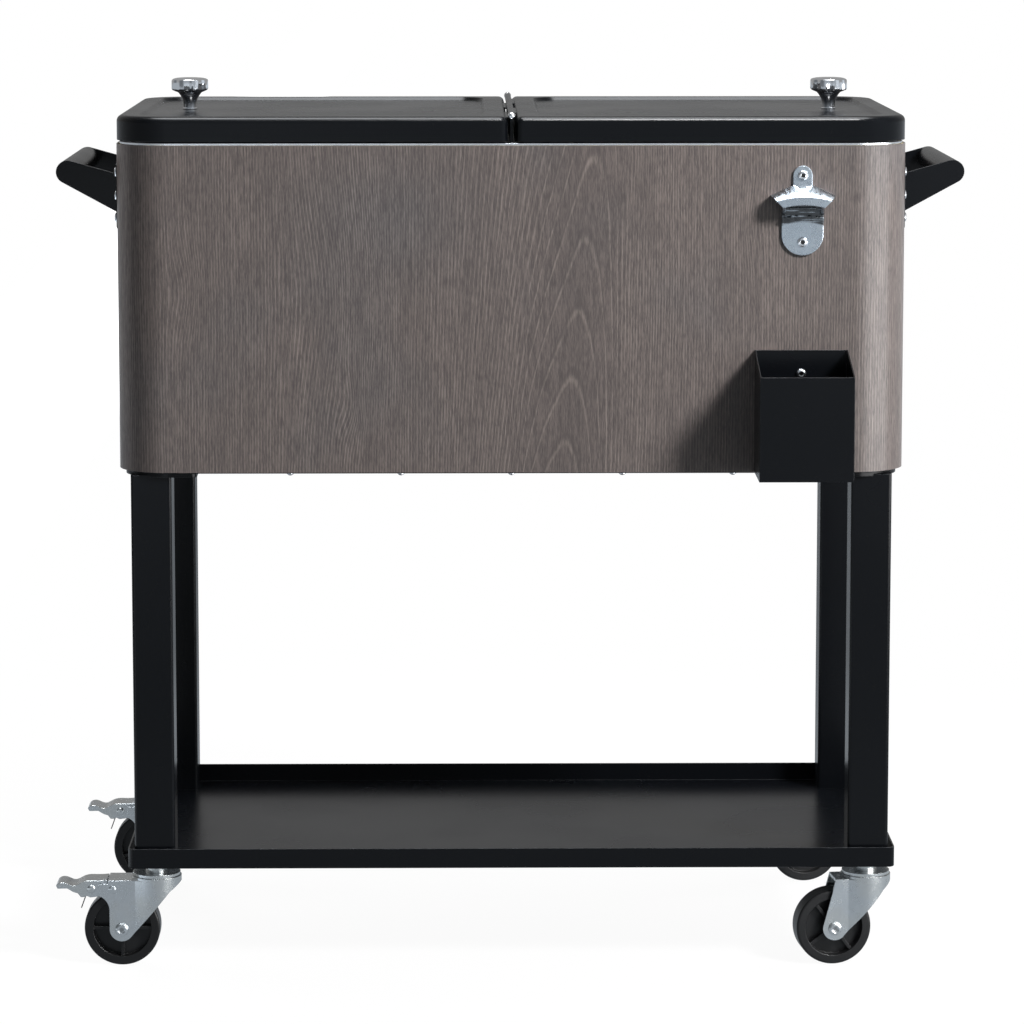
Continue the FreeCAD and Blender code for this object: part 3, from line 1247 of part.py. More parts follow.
def drain_cap_top():
    """The height of the cap's open end."""
    spout_end = PAN_Z - DRAIN_PIPE_BELOW_PAN
    return spout_end - SEAT_GAP - DRAIN_GASKET_H - DRAIN_CAP_FLOOR - SEAT_GAP + DRAIN_CAP_H


def make_drain_gasket():
    """The sealing disc between the spout's end and the cap."""
    top = PAN_Z - DRAIN_PIPE_BELOW_PAN - SEAT_GAP
    return post(DRAIN_PIPE_R - PART_GAP, 0, DRAIN_Y, top - DRAIN_GASKET_H, top)


def make_drain_cap():
    """The ribbed screw cap."""
    top = drain_cap_top()
    low = top - DRAIN_CAP_H
    ribs = []
    for i in range(DRAIN_CAP_RIBS):
        turn = math.radians(360 * i / DRAIN_CAP_RIBS)
        place = (DRAIN_CAP_R * math.cos(turn), DRAIN_Y + DRAIN_CAP_R * math.sin(turn))
        ribs.append(post(DRAIN_CAP_RIB_R, *place, low, top))
    cap = post(DRAIN_CAP_R, 0, DRAIN_Y, low, top).fuse(ribs).removeSplitter()
    return cap.cut(post(DRAIN_PIPE_R + PART_GAP, 0, DRAIN_Y, low + DRAIN_CAP_FLOOR, top + OVERCUT))


def build_nodes():
    """Every node's shape by name, in the tank's own frame."""
    nodes = {
        "outer_shell": make_outer_shell(),
        "bottom_pan": make_bottom_pan(),
        "pan_rivets": make_pan_rivets(),
        "tank_liner": make_tank_liner(),
        "tank_insulation": make_tank_insulation(),
        "top_rim": make_top_rim(),
        "centre_bar": make_centre_bar(),
        "hinge_rod": make_hinge_rod(),
        "hinge_rod_caps": make_hinge_rod_caps(),
        "handle_screws": make_handle_screws(),
        "bottle_opener": make_bottle_opener(),
        "cap_catcher": make_cap_catcher(),
        "accessory_screws": make_accessory_screws(),
        "leg_bolts": make_leg_bolts(),
        "leg_nuts": make_leg_nuts(),
        "leg_plugs": make_leg_plugs(),
        "shelf_tray": make_shelf_tray(),
        "drain_spout": make_drain_spout(),
        "drain_locknut": make_drain_locknut(),
        "drain_gasket": make_drain_gasket(),
        "drain_cap": make_drain_cap(),
    }
    for name, side in SIDES.items():
        nodes[f"{name}_lid_shell"] = make_lid_shell(side)
        nodes[f"{name}_lid_tray"] = make_lid_tray(side)
        nodes[f"{name}_lid_insulation"] = make_lid_insulation(side)
        nodes[f"{name}_knob"] = make_knob(side)
        nodes[f"{name}_knob_screw"] = make_knob_screw(side)
        nodes[f"{name}_handle"] = make_handle(side)
    for name, (sx, sy) in CORNERS.items():
        nodes[f"{name}_leg"] = make_leg(sx, sy)
        caster = {
            "caster_mount": make_caster_mount(),
            "fork": make_fork(name in BRAKED),
            "axle": make_axle(),
            "wheel": make_wheel(ROLL_DEG[name]),
        }
        if name in BRAKED:
            caster["brake_pivots"] = make_brake_pivots()
            caster["brake_pedal"] = make_brake_pedal()
            caster["brake_spring"] = make_brake_spring()
        for piece, shape in caster.items():
            shape.rotate(Vector(0, 0, 0), Vector(0, 0, 1), SWIVEL_DEG[name])
            shape.translate(Vector(sx * LEG_X, sy * LEG_Y, 0))
            nodes[f"{name}_{piece}"] = shape
    return nodes


def main():
    """Writes one STEP file per node."""
    os.makedirs("parts", exist_ok=True)
    for name, shape in build_nodes().items():
        shape.translate(FRAME_SHIFT)
        shape.exportStep(f"parts/{name}.step")


if __name__ == "__main__":
    main()
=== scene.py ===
"""Patio cooler cart: finishes, fine detail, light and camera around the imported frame."""

import json
import logging
import math
from dataclasses import dataclass, field, replace
from enum import Enum
from typing import Optional, Sequence, Union

import bmesh
import bpy
from mathutils import Matrix, Vector


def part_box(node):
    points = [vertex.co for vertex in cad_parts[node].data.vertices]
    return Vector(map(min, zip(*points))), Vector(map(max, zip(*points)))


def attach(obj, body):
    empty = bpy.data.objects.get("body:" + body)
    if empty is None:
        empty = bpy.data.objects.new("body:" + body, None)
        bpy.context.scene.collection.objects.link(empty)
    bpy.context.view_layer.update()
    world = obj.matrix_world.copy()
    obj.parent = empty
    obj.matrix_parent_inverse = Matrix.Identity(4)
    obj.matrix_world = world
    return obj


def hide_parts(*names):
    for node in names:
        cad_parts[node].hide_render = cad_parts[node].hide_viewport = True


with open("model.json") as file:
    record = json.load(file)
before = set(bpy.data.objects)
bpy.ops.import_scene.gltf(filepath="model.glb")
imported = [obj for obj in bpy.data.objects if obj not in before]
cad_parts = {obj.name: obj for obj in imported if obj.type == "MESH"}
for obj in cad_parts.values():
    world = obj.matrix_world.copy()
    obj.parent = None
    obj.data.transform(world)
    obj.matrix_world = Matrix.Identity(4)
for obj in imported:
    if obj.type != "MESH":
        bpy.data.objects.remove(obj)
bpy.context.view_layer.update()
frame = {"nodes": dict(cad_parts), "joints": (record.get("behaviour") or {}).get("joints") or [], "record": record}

LOG = logging.getLogger("cooler_cart")

Colour = tuple[float, float, float]
Place = tuple[float, float, float]
Span = tuple[float, float]
Ring = tuple[float, float]
Drawn = list[list[bmesh.types.BMVert]]
Socket = bpy.types.NodeSocket
Value = Union[float, Socket]
Shade = Union[Colour, Socket]
RECESS_SHADE = "recess_shade"
WHITE = (1.0, 1.0, 1.0)


class Slot(Enum):
    """The finishes of the cart, by the names that the record gives them."""

    PRINTED_SHELL = "printed_shell"
    BLACK_PAINT = "black_paint"
    LINER_PLASTIC = "liner_plastic"
    FOAM = "foam"
    BRIGHT_STEEL = "bright_steel"
    OPENER_ZINC = "opener_zinc"
    PLUG_PLASTIC = "plug_plastic"
    DRAIN_PLASTIC = "drain_plastic"
    SEAL_RUBBER = "seal_rubber"
    KNOB_CHROME = "knob_chrome"
    CASTER_ZINC = "caster_zinc"
    WHEEL_PLASTIC = "wheel_plastic"
    SPRING_STEEL = "spring_steel"


class Side(Enum):
    """The cart's two ends."""

    LEFT = "left"
    RIGHT = "right"


class Corner(Enum):
    """The cart's four corners."""

    FRONT_LEFT = "front_left"
    FRONT_RIGHT = "front_right"
    REAR_LEFT = "rear_left"
    REAR_RIGHT = "rear_right"


class Effect(Enum):
    """Shader groups that more than one finish uses."""

    SOFT_EDGE = "soft_edge"
    COAT_PEEL = "coat_peel"
    METAL_FLOW = "metal_flow"


class Sketch:
    """Places and links shader nodes in one node tree."""

    # Places of the colour sockets on a Mix node, which has others for its other data types.
    MIX_FIRST = 6
    MIX_SECOND = 7
    MIX_RESULT = 2

    def __init__(self, tree: bpy.types.NodeTree) -> None:
        """Starts on an empty tree."""
        self.tree = tree
        tree.nodes.clear()

    def add(self, kind: str, **settings: object) -> bpy.types.Node:
        """Adds a node.

        Args:
            kind: The node's type, without its ShaderNode start.
            settings: Properties of the node to set.

        Returns:
            The new node.
        """
        node = self.tree.nodes.new("ShaderNode" + kind)
        for name, value in settings.items():
            setattr(node, name, value)
        return node

    def feed(self, socket: Socket, value: object) -> None:
        """Links a socket to another, or sets its own value.

        Args:
            socket: The input to feed.
            value: A socket, a colour or a plain value.
        """
        if isinstance(value, bpy.types.NodeSocket):
            self.tree.links.new(value, socket)
        elif isinstance(value, tuple) and len(value) == 3 and socket.type == "RGBA":
            socket.default_value = (*value, 1.0)
        else:
            socket.default_value = value

    def math(self, operation: str, *values: Value, clamp: bool = False) -> Socket:
        """Adds a Math node.

        Args:
            operation: The node's operation.
            values: Its inputs, in order.
            clamp: Whether the result is kept between 0 and 1.

        Returns:
            The result's socket.
        """
        node = self.add("Math", operation=operation, use_clamp=clamp)
        for socket, value in zip(node.inputs, values):
            self.feed(socket, value)
        return node.outputs[0]

    def mix(self, factor: Value, first: Shade, second: Shade, blend: str = "MIX") -> Socket:
        """Mixes two colours.

        Args:
            factor: How much of the second is used.
            first: The colour at 0.
            second: The colour at 1.
            blend: The blend type.

        Returns:
            The mixed colour's socket.
        """
        node = self.add("Mix", data_type="RGBA", blend_type=blend, clamp_factor=True)
        self.feed(node.inputs[0], factor)
        self.feed(node.inputs[self.MIX_FIRST], first)
        self.feed(node.inputs[self.MIX_SECOND], second)
        return node.outputs[self.MIX_RESULT]

    def product(self, first: Value, *rest: Value) -> Value:
        """Multiplies values one after another.

        Args:
            first: The first value.
            rest: The values that it is multiplied by.

        Returns:
            The product's socket.
        """
        for value in rest:
            first = self.math("MULTIPLY", first, value)
        return first

    def span(
        self, value: Value, low: Value, high: Value, out_low: Value = 0.0, out_high: Value = 1.0
    ) -> Socket:
        """Maps a value smoothly from one range to another.

        Args:
            value: The value to map.
            low: The start of its range.
            high: The end of its range.
            out_low: The result at the start.
            out_high: The result at the end.

        Returns:
            The mapped value's socket.
        """
        node = self.add("MapRange", interpolation_type="SMOOTHSTEP")
        for socket, item in zip(node.inputs, (value, low, high, out_low, out_high)):
            self.feed(socket, item)
        return node.outputs[0]

    def scaled(self, vector: Socket, scale: Colour) -> Socket:
        """Stretches a coordinate.

        Args:
            vector: The coordinate.
            scale: The stretch on each axis.

        Returns:
            The new coordinate's socket.
        """
        node = self.add("Mapping")
        self.feed(node.inputs["Vector"], vector)
        node.inputs["Scale"].default_value = scale
        return node.outputs[0]

    def noise(self, vector: Socket, scale: Value, detail: float = 3.0, rough: float = 0.5) -> Socket:
        """Adds a noise texture.

        Args:
            vector: The coordinate that it reads.
            scale: The noise's scale.
            detail: Its octaves.
            rough: How strong the finer octaves are.

        Returns:
            The noise's value, around 0.5.
        """
        node = self.add("TexNoise")
        self.feed(node.inputs["Vector"], vector)
        self.feed(node.inputs["Scale"], scale)
        node.inputs["Detail"].default_value = detail
        node.inputs["Roughness"].default_value = rough
        return node.outputs[0]

    def bump(self, height: Socket, distance: float, normal: Optional[Socket] = None) -> Socket:
        """Adds a Bump node.

        Args:
            height: The height's socket.
            distance: The height's range in metres.
            normal: The normal to bend, or none for the surface's own.

        Returns:
            The bent normal's socket.
        """
        node = self.add("Bump")
        node.inputs["Strength"].default_value = 1.0
        node.inputs["Distance"].default_value = distance
        self.feed(node.inputs["Height"], height)
        if normal is not None:
            self.feed(node.inputs["Normal"], normal)
        return node.outputs[0]

    def group(self, effect: Effect, **values: object) -> bpy.types.Node:
        """Places a shared effect.

        Args:
            effect: The shared effect.
            values: Its inputs by name.

        Returns:
            The group's node.
        """
        node = self.add("Group", node_tree=bpy.data.node_groups[effect.value])
        for name, value in values.items():
            self.feed(node.inputs[name], value)
        return node


class GroupSketch(Sketch):
    """Builds a shared effect as a node group."""

    def __init__(self, effect: Effect, inputs: dict[str, str], outputs: dict[str, str]) -> None:
        """Makes the group and its sockets.

        Args:
            effect: The effect that the group gives.
            inputs: Socket types by input name.
            outputs: Socket types by output name.
        """
        tree = bpy.data.node_groups.new(effect.value, "ShaderNodeTree")
        super().__init__(tree)
        for name, kind in inputs.items():
            tree.interface.new_socket(name, in_out="INPUT", socket_type="NodeSocket" + kind)
        for name, kind in outputs.items():
            tree.interface.new_socket(name, in_out="OUTPUT", socket_type="NodeSocket" + kind)
        self.inputs = tree.nodes.new("NodeGroupInput").outputs
        self.outputs = tree.nodes.new("NodeGroupOutput").inputs


class SharedEffects:
    """The shared shader groups."""

    BEVEL_SAMPLES = 4
    EDGE_TURN = (0.995, 0.86)
    PATCH_SCALE = 90.0
    PATCHES = (0.35, 0.65)
    EVEN = (0.3, 0.7)
    PIT_SCALE = 3.1
    PIT_SHARE = 0.35
    GLOSS_SCALE = 7.0
    DUST_SCALE = 420.0
    DUST = (0.62, 0.78)
    DRAWN_LINES = (40.0, 40.0, 1900.0)
    SWEPT_LINES = (900.0, 60.0, 60.0)
    TINT_SCALE = 36.0

    def build(self) -> None:
        """Makes every group once."""
        self.soft_edge()
        self.coat_peel()
        self.metal_flow()

    def soft_edge(self) -> None:
        """Rounds the shading of sharp edges, and masks them for wear and a painted highlight."""
        sketch = GroupSketch(
            Effect.SOFT_EDGE,
            {"Radius": "Float", "Breakup": "Float", "Vector": "Vector"},
            {"Normal": "Vector", "Edge": "Float"},
        )
        bevel = sketch.add("Bevel", samples=self.BEVEL_SAMPLES)
        sketch.feed(bevel.inputs["Radius"], sketch.inputs["Radius"])
        flat = sketch.add("NewGeometry").outputs["Normal"]
        dot = sketch.add("VectorMath", operation="DOT_PRODUCT")
        sketch.feed(dot.inputs[0], bevel.outputs[0])
        sketch.feed(dot.inputs[1], flat)
        edge = sketch.span(dot.outputs["Value"], *self.EDGE_TURN)
        patches = sketch.span(sketch.noise(sketch.inputs["Vector"], self.PATCH_SCALE), *self.PATCHES)
        kept = sketch.math("SUBTRACT", 1.0, sketch.math("MULTIPLY", sketch.inputs["Breakup"], patches))
        sketch.feed(sketch.outputs["Edge"], sketch.math("MULTIPLY", edge, kept, clamp=True))
        sketch.feed(sketch.outputs["Normal"], bevel.outputs[0])

    def coat_peel(self) -> None:
        """The faint orange peel of a sprayed coat, and the drift of its gloss."""
        sketch = GroupSketch(
            Effect.COAT_PEEL,
            {"Vector": "Vector", "Scale": "Float"},
            {"Height": "Float", "Gloss": "Float", "Dust": "Float"},
        )
        vector = sketch.inputs["Vector"]
        scale = sketch.inputs["Scale"]
        peel = sketch.noise(vector, scale, detail=2.0, rough=0.45)
        pits = sketch.noise(vector, sketch.math("MULTIPLY", scale, self.PIT_SCALE), detail=1.0)
        sketch.feed(sketch.outputs["Height"], sketch.math("MULTIPLY_ADD", pits, self.PIT_SHARE, peel))
        gloss = sketch.noise(vector, self.GLOSS_SCALE, detail=4.0)
        sketch.feed(sketch.outputs["Gloss"], sketch.span(gloss, *self.EVEN))
        dust = sketch.noise(vector, self.DUST_SCALE, detail=2.0, rough=0.6)
        sketch.feed(sketch.outputs["Dust"], sketch.span(dust, *self.DUST))

    def metal_flow(self) -> None:
        """The mottle of a plated metal, and the fine scratches across it."""
        sketch = GroupSketch(
            Effect.METAL_FLOW,
            {"Vector": "Vector", "Scale": "Float"},
            {"Mottle": "Float", "Scratch": "Float", "Tint": "Float"},
        )
        vector = sketch.inputs["Vector"]
        mottle = sketch.noise(vector, sketch.inputs["Scale"], detail=5.0, rough=0.62)
        sketch.feed(sketch.outputs["Mottle"], sketch.span(mottle, *self.EVEN))
        drawn = sketch.noise(sketch.scaled(vector, self.DRAWN_LINES), 1.0, detail=3.0, rough=0.6)
        swept = sketch.noise(sketch.scaled(vector, self.SWEPT_LINES), 1.0, detail=3.0, rough=0.6)
        both = sketch.math("ADD", drawn, swept)
        sketch.feed(sketch.outputs["Scratch"], sketch.math("MULTIPLY", both, 0.5))
        tint = sketch.noise(vector, self.TINT_SCALE, detail=2.0)
        sketch.feed(sketch.outputs["Tint"], sketch.span(tint, *self.PATCHES))


@dataclass(frozen=True)
class Finish:
    """A procedural finish, made once as a material."""

    name: str

    def material(self) -> bpy.types.Material:
        """The finish's material, made on first use."""
        made = bpy.data.materials.get(self.name)
        return made if made is not None else self.make()

    def make(self) -> bpy.types.Material:
        """Makes the material with its shader, then paints it.

        Returns:
            The new material.
        """
        material = bpy.data.materials.new(self.name)
        material.use_nodes = True
        sketch = Sketch(material.node_tree)
        shader = sketch.add("BsdfPrincipled")
        output = sketch.add("OutputMaterial")
        sketch.feed(output.inputs["Surface"], shader.outputs[0])
        place = sketch.add("TexCoord").outputs["Object"]
        self.paint(sketch, shader, place)
        return material

    def paint(self, sketch: Sketch, shader: bpy.types.Node, place: Socket) -> None:
        """Feeds the shader; each kind of finish has its own."""
        raise NotImplementedError


@dataclass(frozen=True)
class PowderCoat(Finish):
    """A sprayed and baked coat on sheet metal."""

    colour: Colour = (0.0030, 0.0036, 0.0048)
    edge_wear_and_highlight: Colour = (0.050, 0.052, 0.056)
    dust_colour: Colour = (0.0055, 0.0058, 0.0064)
    gloss_rough: float = 0.24
    dull_rough: float = 0.28
    peel_scale: float = 700.0
    peel: float = 0.000003
    edge_radius: float = 0.0011
    specular: float = 0.16
    coat: float = 0.08
    coat_rough: float = 0.12
    breakup: float = 0.5

    def paint(self, sketch: Sketch, shader: bpy.types.Node, place: Socket) -> None:
        """Feeds the shader from the peel and the soft edges.

        Args:
            sketch: The material's sketch.
            shader: The material's shader.
            place: Object coordinates.
        """
        peel = sketch.group(Effect.COAT_PEEL, Vector=place, Scale=self.peel_scale)
        edge = sketch.group(Effect.SOFT_EDGE, Radius=self.edge_radius, Breakup=self.breakup, Vector=place)
        dusty = sketch.mix(peel.outputs["Dust"], self.colour, self.dust_colour)
        # Edges are painted lighter: part wear, part painted highlight.
        worn_and_lit = sketch.mix(edge.outputs["Edge"], dusty, self.edge_wear_and_highlight)
        sketch.feed(shader.inputs["Base Color"], worn_and_lit)
        rough = sketch.span(peel.outputs["Gloss"], 0.0, 1.0, self.gloss_rough, self.dull_rough)
        sketch.feed(shader.inputs["Roughness"], rough)
        shader.inputs["Specular IOR Level"].default_value = self.specular
        shader.inputs["Coat Weight"].default_value = self.coat
        shader.inputs["Coat Roughness"].default_value = self.coat_rough
        normal = sketch.bump(peel.outputs["Height"], self.peel, edge.outputs["Normal"])
        sketch.feed(shader.inputs["Normal"], normal)


@dataclass(frozen=True)
class PlatedMetal(Finish):
    """A bare or plated metal."""

    colour: Colour = (0.62, 0.65, 0.67)
    second: Colour = (0.57, 0.60, 0.62)
    tint: Colour = (0.66, 0.64, 0.56)
    tint_amount: float = 0.25
    smooth_rough: float = 0.22
    dull_rough: float = 0.28
    mottle_scale: float = 120.0
    recess_shade_colour: Colour = (0.035, 0.033, 0.031)
    scratch: float = 0.000003
    edge_radius: float = 0.0006
    breakup: float = 0.2

    def hollow_shade(self, sketch: Sketch, place: Socket) -> Socket:
        """Where painted shade darkens the piece's hollows, here from its mesh; other metals add their own."""
        return sketch.add("Attribute", attribute_name=RECESS_SHADE).outputs["Fac"]

    def paint(self, sketch: Sketch, shader: bpy.types.Node, place: Socket) -> None:
        """Feeds the shader from the mottle, the scratches, the painted shade in hollows and the soft edges.

        Args:
            sketch: The material's sketch.
            shader: The material's shader.
            place: Object coordinates.
        """
        flow = sketch.group(Effect.METAL_FLOW, Vector=place, Scale=self.mottle_scale)
        edge = sketch.group(Effect.SOFT_EDGE, Radius=self.edge_radius, Breakup=self.breakup, Vector=place)
        plate = sketch.mix(flow.outputs["Mottle"], self.colour, self.second)
        tinting = sketch.math("MULTIPLY", flow.outputs["Tint"], self.tint_amount)
        tinted = sketch.mix(tinting, plate, self.tint)
        hollow_shade = self.hollow_shade(sketch, place)
        # Painted shade: hollows are darkened towards the recess colour.
        sketch.feed(shader.inputs["Base Color"], sketch.mix(hollow_shade, tinted, self.recess_shade_colour))
        shader.inputs["Metallic"].default_value = 1.0
        rough = sketch.span(flow.outputs["Mottle"], 0.0, 1.0, self.smooth_rough, self.dull_rough)
        sketch.feed(shader.inputs["Roughness"], rough)
        normal = sketch.bump(flow.outputs["Scratch"], self.scratch, edge.outputs["Normal"])
        sketch.feed(shader.inputs["Normal"], normal)


@dataclass(frozen=True)
class CastZinc(PlatedMetal):
    """The opener's casting, whose mouth under the hood is painted dark as the hood's shade, with lighter streaks.
    """

    mouth_low: float = 0.37
    mouth_high: float = 0.60
    mouth_bow: float = 8.75
    plate_depth: float = 0.006
    foot_fade: Span = (-0.0006, 0.0016)
    hood_fade: Span = (0.003, -0.001)
    depth_fade: float = 0.003
    mouth_shade_share: float = 0.88
    streak_share: float = 0.55
    streak_stretch: Colour = (45.0, 45.0, 520.0)
    streak_span: Span = (0.54, 0.66)

    def hollow_shade(self, sketch: Sketch, place: Socket) -> Socket:
        """Masks the mouth's painted shade by its place on the casting.

        Args:
            sketch: The material's sketch.
            place: Object coordinates.

        Returns:
            The mask's socket.
        """
        low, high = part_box("bottle_opener")
        tall = high.z - low.z
        split = sketch.add("SeparateXYZ")
        sketch.feed(split.inputs[0], place)
        across = sketch.math("SUBTRACT", split.outputs[0], (low.x + high.x) / 2)
        bowed = sketch.product(across, across, self.mouth_bow)
        lifted = sketch.math("ADD", split.outputs[2], bowed)
        foot = low.z + tall * self.mouth_low
        hood = low.z + tall * self.mouth_high
        above = sketch.span(lifted, *(foot + fade for fade in self.foot_fade))
        below = sketch.span(split.outputs[2], *(hood + fade for fade in self.hood_fade))
        deep = sketch.math("SUBTRACT", high.y, split.outputs[1])
        inside = sketch.span(deep, self.plate_depth + self.depth_fade, self.plate_depth)
        drawn = sketch.noise(sketch.scaled(place, self.streak_stretch), 1.0, detail=2.0)
        streaks = sketch.math("MULTIPLY", sketch.span(drawn, *self.streak_span), self.streak_share)
        # The mouth under the hood is painted shade, lightened along the streaks.
        return sketch.product(above, below, inside, sketch.math("SUBTRACT", self.mouth_shade_share, streaks))


@dataclass(frozen=True)
class MouldedPlastic(Finish):
    """A moulded plastic or rubber with a faint mould texture."""

    colour: Colour = (0.03, 0.03, 0.031)
    pale: Colour = (0.05, 0.05, 0.052)
    gloss_rough: float = 0.38
    dull_rough: float = 0.5
    grain_scale: float = 1500.0
    grain: float = 0.00003
    specular: float = 0.5
    edge_radius: float = 0.0006
    edge_wear_and_highlight: Colour = (0.09, 0.09, 0.092)
    breakup: float = 0.3

    def paint(self, sketch: Sketch, shader: bpy.types.Node, place: Socket) -> None:
        """Feeds the shader from the mould texture and the soft edges.

        Args:
            sketch: The material's sketch.
            shader: The material's shader.
            place: Object coordinates.
        """
        peel = sketch.group(Effect.COAT_PEEL, Vector=place, Scale=self.grain_scale)
        edge = sketch.group(Effect.SOFT_EDGE, Radius=self.edge_radius, Breakup=self.breakup, Vector=place)
        mixed = sketch.mix(peel.outputs["Gloss"], self.colour, self.pale)
        # Edges are painted lighter: part wear, part painted highlight.
        worn_and_lit = sketch.mix(edge.outputs["Edge"], mixed, self.edge_wear_and_highlight)
        sketch.feed(shader.inputs["Base Color"], worn_and_lit)
        rough = sketch.span(peel.outputs["Gloss"], 0.0, 1.0, self.gloss_rough, self.dull_rough)
        sketch.feed(shader.inputs["Roughness"], rough)
        shader.inputs["Specular IOR Level"].default_value = self.specular
        normal = sketch.bump(peel.outputs["Height"], self.grain, edge.outputs["Normal"])
        sketch.feed(shader.inputs["Normal"], normal)


@dataclass(frozen=True)
class FoamFill(Finish):
    """Poured foam with small closed cells."""

    colour: Colour = (0.62, 0.55, 0.36)
    shade: Colour = (0.50, 0.43, 0.26)
    cell_scale: float = 420.0
    cell: float = 0.0006
    cell_rough: Span = (0.75, 0.95)

    def paint(self, sketch: Sketch, shader: bpy.types.Node, place: Socket) -> None:
        """Feeds the shader from the cells.

        Args:
            sketch: The material's sketch.
            shader: The material's shader.
            place: Object coordinates.
        """
        cells = sketch.add("TexVoronoi")
        sketch.feed(cells.inputs["Vector"], place)
        cells.inputs["Scale"].default_value = self.cell_scale
        depth = cells.outputs["Distance"]
        sketch.feed(shader.inputs["Base Color"], sketch.mix(depth, self.colour, self.shade))
        sketch.feed(shader.inputs["Roughness"], sketch.span(depth, 0.0, 1.0, *self.cell_rough))
        sketch.feed(shader.inputs["Normal"], sketch.bump(depth, self.cell))


@dataclass(frozen=True)
class Knot:
    """A place on the printed board where the grain swells or the tone changes."""

    along: float
    height: float
    size: float
    swell: float
    slender: float = 2.5

    def hill(self, sketch: Sketch, along: Socket, height: Socket) -> Socket:
        """A smooth hill over the place.

        Args:
            sketch: The material's sketch.
            along: Distance along the sheet.
            height: Height above the sheet's lower edge.

        Returns:
            The hill's socket, 1 at its top.
        """
        across = sketch.math("DIVIDE", sketch.math("SUBTRACT", along, self.along), self.size)
        up = sketch.math("DIVIDE", sketch.math("SUBTRACT", height, self.height), self.slender * self.size)
        reach = sketch.math("MULTIPLY_ADD", across, across, sketch.math("MULTIPLY", up, up))
        return sketch.math("POWER", math.e, sketch.math("MULTIPLY", reach, -1.0))


@dataclass(frozen=True)
class Grain:
    """A noise on the printed sheet, stretched along the board."""

    stretch: Colour
    detail: float = 2.0
    rough: float = 0.5
    shown: Span = (0.0, 1.0)
    reach: float = 0.0

    def wave(self, sketch: Sketch, sheet: Socket) -> Socket:
        """The plain noise, around 0.5."""
        return sketch.noise(sketch.scaled(sheet, self.stretch), 1.0, self.detail, self.rough)

    def mask(self, sketch: Sketch, sheet: Socket, strength: float = 1.0) -> Socket:
        """The shown range of the noise, spread from 0 to a strength."""
        return sketch.span(self.wave(sketch, sheet), *self.shown, 0.0, strength)

    def drift(self, sketch: Sketch, sheet: Socket) -> Socket:
        """The noise about zero, as a distance of up to its reach."""
        return sketch.product(sketch.math("SUBTRACT", self.wave(sketch, sheet), 0.5), 2.0 * self.reach)


